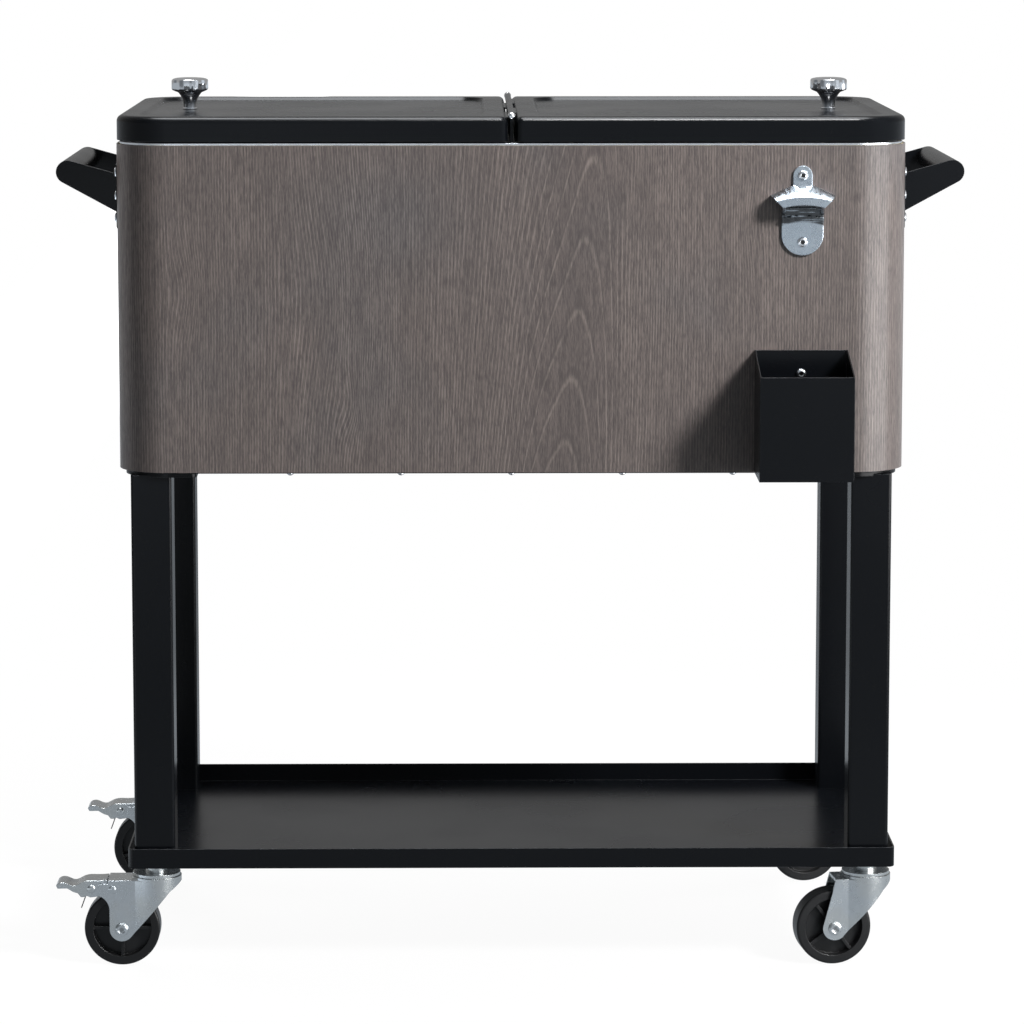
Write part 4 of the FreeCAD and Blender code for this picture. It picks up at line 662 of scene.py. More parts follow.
@dataclass(frozen=True)
class WoodPrint(Finish):
    """A weathered flat-sawn board printed on the sheet that wraps the tank."""

    corner_radius: float = 0.050
    side_turn: float = 0.51 * math.pi
    dark: Colour = (0.072, 0.060, 0.057)
    middle: Colour = (0.158, 0.130, 0.121)
    light: Colour = (0.292, 0.245, 0.220)
    mist_tint: Colour = (0.80, 0.89, 0.97)
    ring_pitch: float = 0.0028
    line_width: float = 0.0008
    line_relief: float = 0.5
    beside_gap: float = 1.5
    beside_shade_share: float = 0.5
    heart: float = 0.048
    heart_half: float = 0.052
    heart_reach: float = 0.085
    heart_slope: float = 0.15
    heart_line: float = 0.09
    heart_round: float = 0.009
    lean: float = 0.092
    taper: float = 0.046
    board: float = 0.45
    bends: tuple[Grain, ...] = (
        Grain((5.0, 2.2, 1.0), reach=0.004),
        Grain((45.0, 9.0, 1.0), 3.0, reach=0.0012),
        Grain((90.0, 60.0, 1.0), reach=0.0005),
    )
    uneven: Grain = Grain((34.0, 0.8, 1.0), reach=0.002)
    knots: tuple[Knot, ...] = (
        Knot(-0.173, 0.170, 0.045, 0.018),
        Knot(-0.318, 0.177, 0.016, 0.009),
        Knot(-0.157, 0.067, 0.012, 0.008),
        Knot(0.235, 0.245, 0.012, 0.005),
    )
    mist: Knot = Knot(-0.125, 0.250, 0.085, 0.6, 0.7)
    cloud: Grain = Grain((6.0, 4.5, 1.0), 3.0, shown=(0.48, 0.72))
    cloud_share: float = 0.45
    strand: Grain = Grain((330.0, 28.0, 1.0), 4.0, 0.6)
    fine: Grain = Grain((1000.0, 110.0, 1.0), 2.0, 0.6)
    fibre_span: Span = (0.36, 0.64)
    fibre_streak: float = 0.5
    plain_streak: float = 0.20
    heart_streak: float = -0.05
    broken: Grain = Grain((90.0, 9.0, 1.0), 4.0, shown=(0.32, 0.68))
    broken_streak: float = 0.40
    pore: Grain = Grain((800.0, 75.0, 1.0), shown=(0.60, 0.72))
    pore_share: float = 0.5
    band: Grain = Grain((26.0, 1.4, 1.0), 4.0, 0.6, shown=(0.34, 0.66))
    banding: float = 0.25
    gloss_rough: float = 0.42
    dull_rough: float = 0.52
    specular: float = 0.25
    lacquer: float = 0.5
    lacquer_rough: float = 0.28
    emboss: float = 0.00005

    def unrolled(self, sketch: Sketch, place: Socket) -> tuple[Socket, Socket]:
        """Unrolls the wrap, from the middle of the front to a seam at the back.

        Args:
            sketch: The material's sketch.
            place: Object coordinates.

        Returns:
            The distance along the sheet and the height, in metres.
        """
        low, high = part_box("outer_shell")
        middle = (low + high) / 2
        split = sketch.add("SeparateXYZ")
        sketch.feed(split.inputs[0], place)
        x = sketch.math("SUBTRACT", split.outputs[0], middle.x)
        y = sketch.math("SUBTRACT", split.outputs[1], middle.y)
        radius = self.corner_radius
        flat_x = (high.x - low.x) / 2 - radius
        flat_y = (high.y - low.y) / 2 - radius
        wide = sketch.math("ABSOLUTE", x)
        near_x = sketch.math("MINIMUM", wide, flat_x)
        near_y = sketch.math("MINIMUM", sketch.math("MAXIMUM", y, -flat_y), flat_y)
        out_x = sketch.math("SUBTRACT", wide, near_x)
        out_y = sketch.math("SUBTRACT", near_y, y)
        turn = sketch.math("ARCTAN2", out_x, out_y)
        behind = sketch.math("GREATER_THAN", turn, self.side_turn)
        way_back = sketch.math("MULTIPLY", sketch.math("SUBTRACT", flat_x, near_x), 2.0)
        run = sketch.math("ADD", near_x, sketch.math("MULTIPLY", turn, radius))
        run = sketch.math("ADD", run, sketch.math("ADD", near_y, flat_y))
        run = sketch.math("ADD", run, sketch.math("MULTIPLY", behind, way_back))
        along = sketch.math("MULTIPLY", run, sketch.math("SIGN", x))
        return along, sketch.math("SUBTRACT", split.outputs[2], low.z)

    def rings(self, sketch: Sketch, along: Socket, height: Socket) -> tuple[Socket, Socket]:
        """Works out the growth rings: wide steep arches about the heart, close straight lines beside it.

        Args:
            sketch: The material's sketch.
            along: Distance along the sheet.
            height: Height above the sheet's lower edge.

        Returns:
            The ring distance in metres, and how fast it changes along the sheet.
        """
        offset = sketch.math("WRAP", sketch.math("SUBTRACT", along, self.heart), self.board, -self.board)
        far = sketch.math("DIVIDE", offset, self.heart_reach)
        near = sketch.math("POWER", math.e, sketch.product(far, far, -1.0))
        grown = sketch.math("MULTIPLY", height, near)
        aside = sketch.math("SUBTRACT", offset, sketch.math("MULTIPLY", grown, self.lean))
        squared = sketch.math("MULTIPLY_ADD", aside, aside, self.heart_round**2)
        leant = sketch.math("SUBTRACT", sketch.math("SQRT", squared), self.heart_round)
        inner = sketch.math("MINIMUM", leant, self.heart_half)
        share = sketch.math("DIVIDE", inner, self.heart_half)
        steep = sketch.math("MULTIPLY", share, share)
        rest = 1.0 - self.heart_slope
        slope = sketch.math("MULTIPLY_ADD", steep, rest, self.heart_slope)
        mean = sketch.math("MULTIPLY_ADD", steep, rest / 3.0, self.heart_slope)
        ring = sketch.math("MULTIPLY_ADD", inner, mean, sketch.math("SUBTRACT", leant, inner))
        ring = sketch.math("MULTIPLY_ADD", grown, self.taper, ring)
        for knot in self.knots:
            ring = sketch.math("MULTIPLY_ADD", knot.hill(sketch, along, height), knot.swell, ring)
        return ring, slope

    def lines(
        self, sketch: Sketch, sheet: Socket, along: Socket, height: Socket
    ) -> tuple[Socket, Socket, Socket]:
        """Draws the rings as pale lines, with a dark line of painted shade beside each one in the heart, as on the
        shaded side of an embossed line.

        Args:
            sketch: The material's sketch.
            sheet: The place on the sheet.
            along: Distance along the sheet.
            height: Height above the sheet's lower edge.

        Returns:
            The masks of the pale lines, the dark lines of painted shade and the heart.
        """
        bent = along
        for bend in self.bends:
            bent = sketch.math("ADD", bent, bend.drift(sketch, sheet))
        ring, slope = self.rings(sketch, bent, height)
        ring = sketch.math("MULTIPLY_ADD", self.uneven.drift(sketch, sheet), slope, ring)
        turn = sketch.math("FRACT", sketch.math("DIVIDE", ring, self.ring_pitch))
        heart = sketch.span(slope, 1.0, self.heart_slope)
        width = sketch.span(heart, 0.0, 1.0, self.line_width / self.ring_pitch, self.heart_line)
        pale = self.line(sketch, turn, 0.5, width)
        aside = sketch.math("MULTIPLY_ADD", width, self.beside_gap, 0.5)
        # The dark line beside each ring is painted shade.
        dark = sketch.product(self.line(sketch, turn, aside, width), heart, self.beside_shade_share)
        return pale, dark, heart

    def line(self, sketch: Sketch, turn: Socket, middle: Value, width: Socket) -> Socket:
        """A soft line about one place in every ring."""
        return sketch.span(sketch.math("ABSOLUTE", sketch.math("SUBTRACT", turn, middle)), width, 0.0)

    def paint(self, sketch: Sketch, shader: bpy.types.Node, place: Socket) -> None:
        """Prints the rings, the fibres, the pores and the weathered clouds, with painted shade beside the rings.

        Args:
            sketch: The material's sketch.
            shader: The material's shader.
            place: Object coordinates.
        """
        along, height = self.unrolled(sketch, place)
        flat = sketch.add("CombineXYZ")
        sketch.feed(flat.inputs[0], along)
        sketch.feed(flat.inputs[1], height)
        sheet = flat.outputs[0]
        pale, dark, heart = self.lines(sketch, sheet, along, height)
        strands = sketch.math("ADD", self.strand.wave(sketch, sheet), self.fine.wave(sketch, sheet))
        fibre = sketch.span(sketch.math("MULTIPLY", strands, 0.5), *self.fibre_span)
        pore = self.pore.mask(sketch, sheet)
        whole = sketch.math("MULTIPLY_ADD", heart, self.heart_streak, self.plain_streak)
        faint = sketch.math("MULTIPLY_ADD", self.broken.mask(sketch, sheet), self.broken_streak, whole)
        streak = sketch.product(pale, faint, sketch.math("ADD", fibre, self.fibre_streak))
        mist = sketch.math("MULTIPLY", self.mist.hill(sketch, along, height), self.mist.swell)
        cloud = self.cloud.mask(sketch, sheet)
        mist = sketch.math("MULTIPLY_ADD", cloud, self.cloud_share, mist, clamp=True)
        # The pores and the painted shade beside the rings both darken the tone.
        dark = sketch.math("MAXIMUM", sketch.math("MULTIPLY", pore, self.pore_share), dark)
        tone = sketch.mix(fibre, self.dark, self.middle)
        tone = sketch.mix(streak, tone, self.light)
        tone = sketch.mix(dark, tone, self.dark)
        tone = sketch.mix(self.band.mask(sketch, sheet, self.banding), tone, self.dark)
        tone = sketch.mix(mist, tone, self.mist_tint, "MULTIPLY")
        sketch.feed(shader.inputs["Base Color"], tone)
        rough = sketch.span(fibre, 0.0, 1.0, self.dull_rough, self.gloss_rough)
        sketch.feed(shader.inputs["Roughness"], rough)
        shader.inputs["Specular IOR Level"].default_value = self.specular
        shader.inputs["Coat Weight"].default_value = self.lacquer
        shader.inputs["Coat Roughness"].default_value = self.lacquer_rough
        relief = sketch.math("SUBTRACT", sketch.math("MULTIPLY_ADD", pale, self.line_relief, fibre), pore)
        sketch.feed(shader.inputs["Normal"], sketch.bump(relief, self.emboss))


FINISHES: dict[Slot, Finish] = {
    Slot.PRINTED_SHELL: WoodPrint("wood_print"),
    Slot.BLACK_PAINT: PowderCoat("black_coat"),
    Slot.LINER_PLASTIC: MouldedPlastic(
        "liner_white",
        colour=(0.64, 0.65, 0.66),
        pale=(0.67, 0.68, 0.69),
        edge_wear_and_highlight=(0.70, 0.71, 0.72),
        gloss_rough=0.60,
        dull_rough=0.68,
        grain_scale=300.0,
        specular=0.08,
    ),
    Slot.FOAM: FoamFill("poured_foam"),
    Slot.BRIGHT_STEEL: PlatedMetal(
        "polished_steel",
        colour=(0.90, 0.91, 0.93),
        second=(0.82, 0.83, 0.85),
        tint=(0.86, 0.88, 0.90),
        smooth_rough=0.20,
        dull_rough=0.25,
        scratch=0.0000008,
    ),
    Slot.OPENER_ZINC: CastZinc(
        "cast_zinc",
        colour=(0.53, 0.59, 0.65),
        second=(0.50, 0.56, 0.62),
        tint=(0.56, 0.60, 0.63),
        smooth_rough=0.25,
        dull_rough=0.30,
        edge_radius=0.0012,
    ),
    Slot.PLUG_PLASTIC: MouldedPlastic("plug_black"),
    Slot.DRAIN_PLASTIC: MouldedPlastic("drain_black", gloss_rough=0.3, dull_rough=0.4),
    Slot.SEAL_RUBBER: MouldedPlastic(
        "black_rubber",
        colour=(0.018, 0.018, 0.018),
        pale=(0.026, 0.026, 0.026),
        gloss_rough=0.6,
        dull_rough=0.75,
    ),
    Slot.KNOB_CHROME: PlatedMetal(
        "polished_chrome",
        colour=(0.86, 0.87, 0.89),
        second=(0.83, 0.84, 0.86),
        tint=(0.84, 0.85, 0.88),
        smooth_rough=0.04,
        dull_rough=0.08,
        scratch=0.000001,
        edge_radius=0.0008,
    ),
    Slot.CASTER_ZINC: PlatedMetal("zinc_plate"),
    Slot.WHEEL_PLASTIC: MouldedPlastic(
        "wheel_black",
        colour=(0.006, 0.006, 0.0064),
        pale=(0.011, 0.011, 0.0115),
        edge_wear_and_highlight=(0.06, 0.06, 0.062),
        gloss_rough=0.28,
        dull_rough=0.40,
        specular=0.35,
    ),
    Slot.SPRING_STEEL: PlatedMetal(
        "spring_dark",
        colour=(0.030, 0.030, 0.032),
        second=(0.018, 0.018, 0.019),
        tint=(0.04, 0.036, 0.03),
        smooth_rough=0.35,
        dull_rough=0.5,
    ),
}


class Form:
    """A bmesh that operators shape, then set down as one piece of the cart."""

    WELD = 0.00001
    FLAT = math.radians(1.0)
    SHARP = math.radians(32.0)

    def __init__(self) -> None:
        """Starts empty, with a layer for the painted shade in hollows."""
        self.mesh = bmesh.new()
        self.sharp = self.SHARP
        self.recess_shade = self.mesh.verts.layers.float.new(RECESS_SHADE)

    @classmethod
    def copy_of(cls, node: str) -> "Form":
        """Copies a CAD node's mesh, with its loose triangles joined into faces.

        Args:
            node: The node to copy.

        Returns:
            The joined copy.
        """
        form = cls()
        mesh = form.mesh
        mesh.from_mesh(frame["nodes"][node].data)
        bmesh.ops.remove_doubles(mesh, verts=mesh.verts[:], dist=cls.WELD)
        bmesh.ops.dissolve_limit(mesh, angle_limit=cls.FLAT, verts=mesh.verts[:], edges=mesh.edges[:])
        return form

    def hollow_shade(self, verts: Sequence[bmesh.types.BMVert], depth: float) -> None:
        """Marks points that lie in a hollow, which the metals paint darker as painted shade.

        Args:
            verts: The points.
            depth: How dark, from 0 to 1.
        """
        for vert in verts:
            vert[self.recess_shade] = depth

    def soften(self, width: float, segments: int = 3) -> None:
        """Rounds every sharp edge.

        Args:
            width: The bevel's width in metres.
            segments: Its steps.
        """
        edges = [edge for edge in self.mesh.edges if len(edge.link_faces) == 2]
        sharp = [edge for edge in edges if edge.calc_face_angle() > self.sharp]
        bmesh.ops.bevel(
            self.mesh,
            geom=sharp,
            offset=width,
            offset_type="OFFSET",
            affect="EDGES",
            segments=segments,
            profile=0.5,
            material=-1,
            clamp_overlap=True,
        )

    def draw_up(self, rings: Sequence[Ring], segments: int) -> Drawn:
        """Draws up a round form about Z, ring by ring from a capped circle.

        Args:
            rings: The (radius, height) of each ring in metres, from the first cap to the last.
            segments: Points round each ring.

        Returns:
            The vertices of each ring.
        """
        radius, height = rings[0]
        verts = bmesh.ops.create_circle(self.mesh, cap_ends=True, radius=radius, segments=segments)["verts"]
        bmesh.ops.translate(self.mesh, verts=verts, vec=(0.0, 0.0, height))
        rim = list({edge for vert in verts for edge in vert.link_edges})
        drawn = [verts]
        for next_radius, next_height in rings[1:]:
            made = bmesh.ops.extrude_edge_only(self.mesh, edges=rim)["geom"]
            verts = [item for item in made if isinstance(item, bmesh.types.BMVert)]
            grow = next_radius / radius
            bmesh.ops.scale(self.mesh, verts=verts, vec=(grow, grow, 1.0))
            bmesh.ops.translate(self.mesh, verts=verts, vec=(0.0, 0.0, next_height - height))
            fresh = set(verts)
            edges = [item for item in made if isinstance(item, bmesh.types.BMEdge)]
            rim = [edge for edge in edges if fresh.issuperset(edge.verts)]
            radius, height = next_radius, next_height
            drawn.append(verts)
        bmesh.ops.edgeloop_fill(self.mesh, edges=rim)
        return drawn

    def aim(self, drawn: Drawn, place: Vector, way: Vector) -> None:
        """Turns what was drawn about Z to another way and moves it.

        Args:
            drawn: The vertices of each ring.
            place: Where its origin goes.
            way: Where its +Z goes.
        """
        verts = [vert for ring in drawn for vert in ring]
        turn = way.to_track_quat("Z", "Y").to_matrix().to_4x4()
        bmesh.ops.transform(self.mesh, verts=verts, matrix=Matrix.Translation(place) @ turn)

    def set_down(self, name: str, body: str, slot: Slot, *nodes: str) -> None:
        """Makes the piece, which stands in for CAD nodes.

        Args:
            name: The piece's name.
            body: The body that it moves with.
            slot: The slot that its finish comes from.
            nodes: The nodes that it replaces.
        """
        bmesh.ops.remove_doubles(self.mesh, verts=self.mesh.verts[:], dist=self.WELD)
        bmesh.ops.recalc_face_normals(self.mesh, faces=self.mesh.faces[:])
        data = bpy.data.meshes.new(name)
        self.mesh.to_mesh(data)
        self.mesh.free()
        data.shade_smooth()
        data.set_sharp_from_angle(angle=self.sharp)
        data.materials.append(FINISHES[slot].material())
        piece = bpy.data.objects.new(name, data)
        bpy.context.scene.collection.objects.link(piece)
        even = piece.modifiers.new("even_normals", "WEIGHTED_NORMAL")
        even.keep_sharp = True
        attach(piece, body)
        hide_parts(*nodes)
        LOG.info("%s: %d faces, %s", name, len(data.polygons), FINISHES[slot].name)


def islands(node: str) -> list[tuple[Vector, Vector]]:
    """Finds the box of each separate solid in a CAD node.

    Args:
        node: The node.

    Returns:
        The low and high corner of each solid.
    """
    form = Form.copy_of(node)
    waiting = set(form.mesh.verts)
    boxes = []
    while waiting:
        front = [waiting.pop()]
        found = []
        while front:
            vert = front.pop()
            found.append(vert.co.copy())
            near = {edge.other_vert(vert) for edge in vert.link_edges} & waiting
            waiting -= near
            front.extend(near)
        low = Vector(min(co[axis] for co in found) for axis in range(3))
        high = Vector(max(co[axis] for co in found) for axis in range(3))
        boxes.append((low, high))
    form.mesh.free()
    return boxes


@dataclass
class SocketScrew:
    """A button-head screw with a hexagon socket."""

    # Outlines in shares of the radius and of the head's height.
    HEAD = ((0.96, 0.0), (1.0, 0.12), (1.0, 0.30), (0.93, 0.62), (0.76, 0.87), (0.56, 1.0))
    SOCKET = ((1.12, 1.0), (1.0, 0.94))
    SOCKET_SIDE = math.pi / 3
    SOCKET_SHADE = 0.95

    head_radius: float = 0.0050
    head_height: float = 0.0028
    shank_radius: float = 0.0025
    grip: float = 0.0130
    socket_radius: float = 0.0021
    socket_depth: float = 0.0016
    segments: int = 36

    def draw(self, form: Form, place: Vector, way: Vector) -> None:
        """Draws one screw.

        Args:
            form: The form to draw in.
            place: The middle of the head's seat.
            way: Where the head faces.
        """
        top = self.head_height
        rings = [(self.shank_radius, -self.grip), (self.shank_radius, 0.0)]
        rings += [(self.head_radius * across, top * up) for across, up in self.HEAD]
        rings += [(self.socket_radius * across, top * up) for across, up in self.SOCKET]
        rings.append((self.socket_radius, top - self.socket_depth))
        drawn = form.draw_up(rings, self.segments)
        sunk = drawn[-1] + drawn[-2]
        half_side = self.SOCKET_SIDE / 2
        for vert in sunk:
            turn = math.atan2(vert.co.y, vert.co.x) % self.SOCKET_SIDE - half_side
            flat = math.cos(half_side) / math.cos(turn)
            vert.co.x *= flat
            vert.co.y *= flat
        # The socket's inside is marked for painted shade.
        form.hollow_shade(sunk, self.SOCKET_SHADE)
        form.aim(drawn, place, way)


@dataclass
class SubAssembly:
    """A group of the cart's nodes, dressed together, with the finer pieces made for it."""

    nodes: tuple[str, ...]

    def build(self) -> None:
        """Makes the finer pieces; a group without any makes none."""

    def dress(self, slots: dict[str, Slot]) -> None:
        """Gives every node of the group the finish of its slot.

        Args:
            slots: The slot of each node.
        """
        for name in self.nodes:
            finish = FINISHES[slots[name]]
            materials = frame["nodes"][name].data.materials
            materials.clear()
            materials.append(finish.material())
            LOG.info("%s: %s", name, finish.name)


@dataclass
class Tank(SubAssembly):
    """The foam-filled tank: printed shell, pan, liner and rim."""

    nodes: tuple[str, ...] = (
        "outer_shell",
        "bottom_pan",
        "pan_rivets",
        "tank_insulation",
        "tank_liner",
        "top_rim",
    )


@dataclass
class Drain(SubAssembly):
    """The drain under the tank's floor."""

    nodes: tuple[str, ...] = ("drain_spout", "drain_locknut", "drain_gasket", "drain_cap")


@dataclass
class LidHinge(SubAssembly):
    """The bar across the tank and the rod that both lids turn on."""

    nodes: tuple[str, ...] = ("centre_bar", "hinge_rod", "hinge_rod_caps")


@dataclass
class Lid(SubAssembly):
    """One lid with its knob, which is turned and lobed here more finely than in the solids."""

    # Outlines of the knob in shares of the radius; the underside's heights are in metres.
    FOOT = ((0.95, 0.0), (1.0, 0.25), (1.0, 0.7))
    FLARE_POWER = 2.6
    UNDERSIDE = ((0.80, -0.0018), (0.95, -0.0006), (1.0, 0.0008))
    CROWN_FLAT = 0.10
    CROWN_POWER = 0.6
    LOBE_POWER = 2.0

    nodes: tuple[str, ...] = ()
    side: Side = Side.LEFT
    foot_radius: float = 0.0073
    neck_radius: float = 0.0064
    shoulder_radius: float = 0.0120
    foot_height: float = 0.0016
    shoulder_height: float = 0.0170
    bevel_height: float = 0.0030
    crown_height: float = 0.0030
    crown_edge: float = 0.0006
    neck_steps: int = 10
    crown_steps: int = 6
    lobes: int = 8
    lobe_depth: float = 0.0015
    segments: int = 160

    def __post_init__(self) -> None:
        """Names the lid's nodes by its side."""
        parts = ("lid_shell", "lid_insulation", "lid_tray", "knob", "knob_screw")
        self.nodes = tuple(f"{self.side.value}_{part}" for part in parts)

    def rings(self, radius: float, height: float) -> list[Ring]:
        """The knob's outline from its foot to its crown.

        Args:
            radius: The head's radius.
            height: The knob's height.

        Returns:
            The (radius, height) of each ring.
        """
        rings = [(self.foot_radius * across, self.foot_height * up) for across, up in self.FOOT]
        for step in range(self.neck_steps + 1):
            share = step / self.neck_steps
            flare = (self.shoulder_radius - self.neck_radius) * share**self.FLARE_POWER
            rise = (self.shoulder_height - self.foot_height) * share
            rings.append((self.neck_radius + flare, self.foot_height + rise))
        low = self.shoulder_height + self.bevel_height
        rings += [(radius * across, low + up) for across, up in self.UNDERSIDE]
        side_top = height - self.crown_height
        rings.append((radius, side_top - self.crown_edge))
        for step in range(1, self.crown_steps + 1):
            turn = math.pi / 2 * step / self.crown_steps
            across = (1.0 - self.CROWN_FLAT) * math.cos(turn) ** self.CROWN_POWER + self.CROWN_FLAT
            rings.append((radius * across, side_top + self.crown_height * math.sin(turn)))
        return rings

    def build(self) -> None:
        """Turns the knob, presses its lobes and sets it on the lid."""
        side = self.side.value
        low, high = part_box(f"{side}_knob")
        radius = (high.x - low.x) / 2
        form = Form()
        drawn = form.draw_up(self.rings(radius, high.z - low.z), self.segments)
        for vert in form.mesh.verts:
            reach = vert.co.xy.length
            share = min(max((reach - self.shoulder_radius) / (radius - self.shoulder_radius), 0.0), 1.0)
            wave = 0.5 + 0.5 * math.cos(self.lobes * math.atan2(vert.co.y, vert.co.x))
            press = 1.0 - self.lobe_depth / radius * share * wave**self.LOBE_POWER
            vert.co.x *= press
            vert.co.y *= press
        middle = (low + high) / 2
        form.aim(drawn, Vector((middle.x, middle.y, low.z)), Vector((0.0, 0.0, 1.0)))
        form.set_down(f"{side}_turned_knob", f"{side}_lid", Slot.KNOB_CHROME, f"{side}_knob")


@dataclass
class Handles(SubAssembly):
    """The two side handles and their screws."""

    nodes: tuple[str, ...] = ("left_handle", "right_handle", "handle_screws")
    screw: SocketScrew = field(default_factory=SocketScrew)

    def build(self) -> None:
        """Makes the screws on both sides."""
        form = Form()
        for low, high in islands("handle_screws"):
            place = (low + high) / 2
            side = math.copysign(1.0, place.x)
            outer = high.x if side > 0 else low.x
            place.x = outer - side * self.screw.head_height
            self.screw.draw(form, place, Vector((side, 0.0, 0.0)))
        form.set_down("handle_socket_screws", "cart", Slot.BRIGHT_STEEL, "handle_screws")


@dataclass
class FrontFittings(SubAssembly):
    """The bottle opener, the cap catcher and their screws."""

    nodes: tuple[str, ...] = ("bottle_opener", "cap_catcher", "accessory_screws")
    screw: SocketScrew = field(default_factory=SocketScrew)
    cast_edge: float = 0.0009

    def build(self) -> None:
        """Makes the screws, and rounds the cast opener's edges."""
        form = Form()
        for low, high in islands("accessory_screws"):
            place = (low + high) / 2
            place.y = low.y + self.screw.head_height
            self.screw.draw(form, place, Vector((0.0, -1.0, 0.0)))
        form.set_down("front_socket_screws", "cart", Slot.BRIGHT_STEEL, "accessory_screws")
        opener = Form.copy_of("bottle_opener")
        opener.soften(self.cast_edge)
        opener.set_down("cast_opener", "cart", Slot.OPENER_ZINC, "bottle_opener")


@dataclass
class Stand(SubAssembly):
    """The four legs, their bolts and the shelf tray."""

    nodes: tuple[str, ...] = (
        *(f"{corner.value}_leg" for corner in Corner),
        "leg_bolts",
        "leg_nuts",
        "leg_plugs",
        "shelf_tray",
    )


@dataclass
class Caster(SubAssembly):
    """One swivel caster, with its brake where it has one."""

    # Outlines in shares of the radius, and of the head's height or the dimple's depth.
    RIVET = ((0.97, 0.0), (1.0, 0.25), (0.93, 0.65), (0.74, 0.95))
    DIMPLE = ((1.15, 0.0), (0.95, 0.4), (0.5, 1.0))
    DIMPLE_SHADE = 0.5

    nodes: tuple[str, ...] = ()
    corner: Corner = Corner.FRONT_LEFT
    braked: bool = False
    sheet_edge: float = 0.0006
    edge_steps: int = 2
    crease_turn: float = 24.0
    rivet_radius: float = 0.0067
    rivet_height: float = 0.0030
    shank_radius: float = 0.0040
    fork_width: float = 0.0340
    dimple_radius: float = 0.0034
    dimple_depth: float = 0.0012
    segments: int = 48

    def __post_init__(self) -> None:
        """Names the caster's nodes by its corner."""
        parts = ["caster_mount", "fork", "axle", "wheel"]
        if self.braked:
            parts += ["brake_pedal", "brake_pivots", "brake_spring"]
        self.nodes = tuple(f"{self.corner.value}_{part}" for part in parts)

    def build(self) -> None:
        """Rounds the pressed sheet's edges and makes the axle's rivet."""
        self.pressed("fork", "swivel")
        if self.braked:
            self.pressed("brake_pedal", "brake")
        self.rivet()

    def pressed(self, part: str, body: str) -> None:
        """Makes one pressed piece with rounded edges.

        Args:
            part: The part's name.
            body: The moving body that it belongs to.
        """
        corner = self.corner.value
        form = Form.copy_of(f"{corner}_{part}")
        form.sharp = math.radians(self.crease_turn)
        form.soften(self.sheet_edge, self.edge_steps)
        form.set_down(f"{corner}_pressed_{part}", f"{corner}_{body}", Slot.CASTER_ZINC, f"{corner}_{part}")

    def rivet(self) -> None:
        """Makes the axle's rivet, with a dimple in both heads."""
        corner = self.corner.value
        spin = next(joint for joint in frame["joints"] if joint["name"] == f"{corner}_wheel_spin")
        tall = self.rivet_height
        half = self.fork_width / 2
        face = [(self.rivet_radius * across, tall * up) for across, up in self.RIVET]
        for across, down in self.DIMPLE:
            face.append((self.dimple_radius * across, tall - self.dimple_depth * down))
        far = [(radius, -half - height) for radius, height in reversed(face)]
        near = [(radius, half + height) for radius, height in face]
        rings = far + [(self.shank_radius, -half), (self.shank_radius, half)] + near
        form = Form()
        drawn = form.draw_up(rings, self.segments)
        # Both dimples are marked for painted shade.
        form.hollow_shade(drawn[0] + drawn[-1], self.DIMPLE_SHADE)
        form.aim(drawn, Vector(spin["pos_m"]), Vector(spin["axis"]))
        form.set_down(f"{corner}_axle_rivet", f"{corner}_swivel", Slot.CASTER_ZINC, f"{corner}_axle")


@dataclass
class CoolerCart:
    """The whole cart, as its sub-assemblies in building order."""

    groups: tuple[SubAssembly, ...] = (
        Tank(),
        Drain(),
        LidHinge(),
        Lid(side=Side.LEFT),
        Lid(side=Side.RIGHT),
        Handles(),
        FrontFittings(),
        Stand(),
        Caster(corner=Corner.FRONT_LEFT, braked=True),
        Caster(corner=Corner.FRONT_RIGHT),
        Caster(corner=Corner.REAR_LEFT, braked=True),
        Caster(corner=Corner.REAR_RIGHT),
    )

    def build(self, record: dict) -> None:
        """Dresses every node and makes every finer piece.

        Args:
            record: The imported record, which gives each node's slot.
        """
        slots = {row["node"]: Slot(row["material_slot"]) for row in record["subparts"]}
        for group in self.groups:
            group.dress(slots)
            group.build()


class Linking(Enum):
    """How a lamp uses its list of nodes."""

    ONLY = "INCLUDE"
    ALL_BUT = "EXCLUDE"


@dataclass(frozen=True)
class SoftBox:
    """A soft box, which may light only dull or only glossy surfaces, and only some nodes."""

    name: str
    place: Place
    target: Place
    size: Span
    power: float
    mirrored: bool = True
    spread: bool = True
    nodes: tuple[str, ...] = ()
    linking: Linking = Linking.ALL_BUT

    def hang(self) -> None:
        """Hangs the box, facing its target."""
        data = bpy.data.lights.new(self.name, "AREA")
        data.shape = "RECTANGLE"
        data.size, data.size_y = self.size
        data.energy = self.power
        lamp = bpy.data.objects.new(self.name, data)
        lamp.location = self.place
        lamp.visible_glossy = self.mirrored
        lamp.visible_diffuse = self.spread
        if self.nodes:
            lamp.light_linking.receiver_collection = self.listed()
        way = Vector(self.target) - Vector(self.place)
        lamp.rotation_euler = way.to_track_quat("-Z", "Y").to_euler()
        bpy.context.scene.collection.objects.link(lamp)

    def listed(self) -> bpy.types.Collection:
        """Lists the nodes that the box lights or leaves out, as a flag on a stand would.

        Returns:
            The list, for the lamp's light linking.
        """
        linked = bpy.data.collections.new(f"{self.name}_linked")
        for node in self.nodes:
            linked.objects.link(frame["nodes"][node])
        for row in linked.collection_objects:
            row.light_linking.link_state = self.linking.value
        return linked


